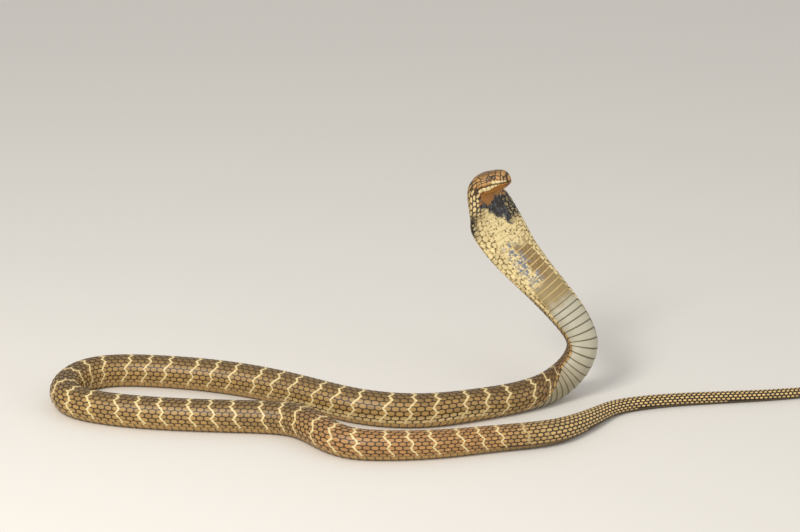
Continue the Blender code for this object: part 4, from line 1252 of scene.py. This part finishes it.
def eye_material():
    """Black round pupil, bronze iris and a wet surface."""
    shade, g, principled = new_material("eye_wet")
    gaze = g.mark("gaze")
    place = g.node("ShaderNodeTexCoord").outputs["Object"]
    streak = g.noise(place, 1800.0, 2.0)
    iris = g.mix(streak, IRIS_DARK, settings().iris)
    colour = g.mix(g.ramp(gaze, *PUPIL_EDGE), PUPIL, iris)
    colour = g.mix(g.ramp(gaze, *IRIS_EDGE), colour, EYE_EDGE)
    g.feed(principled.inputs["Base Color"], colour)
    principled.inputs["Roughness"].default_value = 0.08
    principled.inputs["Coat Weight"].default_value = 1.0
    principled.inputs["Coat Roughness"].default_value = 0.03
    g.relief(principled, streak, 0.05, 0.0001)
    return shade


def new_material(name):
    shade = bpy.data.materials.new(name)
    shade.use_nodes = True
    g = Graph(shade.node_tree)
    return shade, g, shade.node_tree.nodes["Principled BSDF"]


def scale_material(name, bump_strength):
    """A material that takes its colours from the body's markings."""
    markings = bpy.data.node_groups.get("cobra markings") or group_markings()
    shade, g, principled = new_material(name)
    group = g.node("ShaderNodeGroup", node_tree=markings)
    for key in MARKS:
        g.feed(group.inputs[key], g.mark(key))
    g.feed(group.inputs["Vector"], g.node("ShaderNodeTexCoord").outputs["Object"])
    g.feed(principled.inputs["Base Color"], group.outputs["Colour"])
    g.feed(principled.inputs["Roughness"], group.outputs["Roughness"])
    g.relief(principled, group.outputs["Height"], bump_strength, 0.0003)
    return shade


# Properties, operators and panel

def paint(name, description, default):
    """A colour that a user may change."""
    return FloatVectorProperty(name=name, description=description, subtype="COLOR", size=4, default=default,
                               min=0.0, max=1.0)


class CobraSettings(PropertyGroup):
    cream: paint("Cream", "Pale bands, lips and the front of the hood", tone(230, 210, 156))
    back: paint("Back", "Scales along the middle of the back", tone(124, 98, 56))
    flank: paint("Flank", "Scales of the sides", tone(168, 134, 76))
    rear: paint("Rear", "Scales of the rear of the body", tone(176, 128, 76))
    tail_spots: paint("Tail spots", "Middles of the tail's scales", tone(224, 190, 126))
    seams: paint("Seams", "Skin between the scales and round the shields", tone(70, 51, 27))
    crown: paint("Crown", "Shields on top of the head", tone(128, 92, 46))
    cheek: paint("Cheek", "Shields on the sides of the head", tone(188, 140, 76))
    # orange painted shade under the head, warmed by light reflected from the ground
    chin: paint("Chin", "Underside of the head", tone(176, 120, 50))
    slate: paint("Throat", "Dark band across the throat", tone(62, 63, 68))
    silver: paint("Silver", "Scutes of the raised belly", tone(184, 179, 158))
    iris: paint("Iris", "Light streaks of the iris", tone(166, 118, 56))
    scale_length: FloatProperty(name="Scale length", description="Length of a back scale, in segments",
                                default=1.16, min=0.5, max=1.5)
    scale_width: FloatProperty(name="Scale width", description="Width of a back scale, in rows",
                               default=1.16, min=0.5, max=1.5)
    scale_dome: FloatProperty(name="Scale dome", description="Height of a scale's rounded top",
                              default=0.0003, min=0.0, precision=4, unit="LENGTH")
    floor_tone: paint("Floor", "Colour of the floor", (0.78, 0.76, 0.72, 1.0))
    light_power: FloatProperty(name="Main lamp", description="Power of the main lamp", default=66.0,
                               unit="POWER")
    sky: FloatProperty(name="Surrounding light", description="Strength of the light from all round",
                       default=0.62, min=0.0)


def settings():
    return bpy.context.scene.cobra


class OBJECT_OT_cobra_stage(Operator):
    """Lay the floor, hang the lamps and set up the camera"""

    bl_idname = "object.cobra_stage"
    bl_label = "Stage"

    def execute(self, context):
        lay_floor(context.scene)
        light_studio(context.scene)
        set_camera(context.scene)
        context.scene.view_settings.view_transform = "Standard"
        return {"FINISHED"}


def lay_floor(scene):
    bm = bmesh.new()
    bmesh.ops.create_grid(bm, x_segments=1, y_segments=1, size=FLOOR_HALF)
    mesh = bpy.data.meshes.new("floor")
    bm.to_mesh(mesh)
    bm.free()
    floor = bpy.data.objects.new("floor", mesh)
    scene.collection.objects.link(floor)
    shade, g, principled = new_material("floor_paint")
    principled.inputs["Base Color"].default_value = settings().floor_tone
    principled.inputs["Roughness"].default_value = 0.85
    mesh.materials.append(shade)


def light_studio(scene):
    world = bpy.data.worlds.new("studio")
    scene.world = world
    world.use_nodes = True
    world.node_tree.nodes["Background"].inputs["Color"].default_value = SKY_TINT
    world.node_tree.nodes["Background"].inputs["Strength"].default_value = settings().sky
    for name, place, size, share in LAMPS:
        lamp = bpy.data.lights.new(name, "AREA")
        lamp.energy = settings().light_power * share
        lamp.size = size
        lamp.color = LAMP_TINT
        item = bpy.data.objects.new(name, lamp)
        scene.collection.objects.link(item)
        item.location = place
        aim = Vector(LAMP_AIM) - Vector(place)
        item.rotation_euler = aim.to_track_quat("-Z", "Y").to_euler()


def set_camera(scene):
    camera = bpy.data.cameras.new("camera")
    camera.sensor_width = SENSOR
    camera.lens = FOCAL_PIXELS * SENSOR / IMAGE[0]
    camera.clip_end = 60.0
    item = bpy.data.objects.new("camera", camera)
    scene.collection.objects.link(item)
    item.location = CAMERA_PLACE
    item.rotation_euler = (math.radians(90.0 - CAMERA_DOWN), 0.0, 0.0)
    scene.camera = item


class OBJECT_OT_cobra_skin(Operator):
    """Wrap one skin round the whole animal"""

    bl_idname = "object.cobra_skin"
    bl_label = "Skin"

    def execute(self, context):
        skin = make_skin()
        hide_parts(*FLESH)
        finish_piece(skin, scale_material("skin_between_scales", 0.3))
        return {"FINISHED"}


def finish_piece(item, shade):
    """Gives a piece its material and body."""
    item.data.materials.append(shade)
    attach(item, BODY)


SCALE_STRETCHES = (
    # name, start, end, slot
    ("hood_scales", 52.0, 560.0, "body_scales"),
    ("body_scales_front", 560.0, 1300.0, "body_scales"),
    ("body_scales_rear", 1300.0, 2320.0, "body_scales"),
    ("tail_scales", 2320.0, 3332.0, "tail_scales"),
)
SCUTE_STRETCHES = (
    # name, start, end, steps across, slot
    ("throat_scutes", 82.0, 560.0, 40, "throat_skin"),
    ("belly_scutes", 560.0, 2500.0, 16, "belly_skin"),
    ("tail_scutes", 2500.0, 3325.0, 10, "belly_skin"),
)


class OBJECT_OT_cobra_scales(Operator):
    """Lay the scales of the back, row by row"""

    bl_idname = "object.cobra_scales"
    bl_label = "Scales"

    def execute(self, context):
        shade = scale_material("scale_horn", 0.25)
        for name, start, end, slot_name in SCALE_STRETCHES:
            finish_piece(make_scales(name, start, end), shade)
        finish_piece(make_chin_scales(), shade)
        return {"FINISHED"}


class OBJECT_OT_cobra_scutes(Operator):
    """Lay the wide scutes of the throat, belly and tail"""

    bl_idname = "object.cobra_scutes"
    bl_label = "Scutes"

    def execute(self, context):
        shade = scale_material("scute_horn", 0.25)
        for name, start, end, across, slot_name in SCUTE_STRETCHES:
            finish_piece(make_scutes(name, start, end, across), shade)
        return {"FINISHED"}


class OBJECT_OT_cobra_head(Operator):
    """Plate the head with its shields and set the eyes"""

    bl_idname = "object.cobra_head"
    bl_label = "Head"

    def execute(self, context):
        finish_piece(make_shields(), shield_material())
        shade = eye_material()
        for name, side in EYES.items():
            item = make_eye(name, side)
            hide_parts(name)
            finish_piece(item, shade)
        return {"FINISHED"}


class VIEW3D_PT_cobra(Panel):
    """Lists the steps of the model"""

    bl_idname = "VIEW3D_PT_cobra"
    bl_label = "King cobra"
    bl_space_type = "VIEW_3D"
    bl_region_type = "UI"
    bl_category = "Cobra"

    def draw(self, context):
        for key in CobraSettings.__annotations__:
            self.layout.prop(context.scene.cobra, key)
        for item in OPERATORS:
            self.layout.operator(item.bl_idname)


OPERATORS = (OBJECT_OT_cobra_stage, OBJECT_OT_cobra_skin, OBJECT_OT_cobra_scutes, OBJECT_OT_cobra_scales,
             OBJECT_OT_cobra_head)
CLASSES = (CobraSettings, *OPERATORS, VIEW3D_PT_cobra)


def register():
    for item in CLASSES:
        bpy.utils.register_class(item)
    bpy.types.Scene.cobra = PointerProperty(type=CobraSettings)


def unregister():
    del bpy.types.Scene.cobra
    for item in reversed(CLASSES):
        bpy.utils.unregister_class(item)


def main():
    register()
    bpy.ops.object.cobra_stage()
    bpy.ops.object.cobra_skin()
    bpy.ops.object.cobra_scutes()
    bpy.ops.object.cobra_scales()
    bpy.ops.object.cobra_head()


if __name__ == "__main__":
    main()
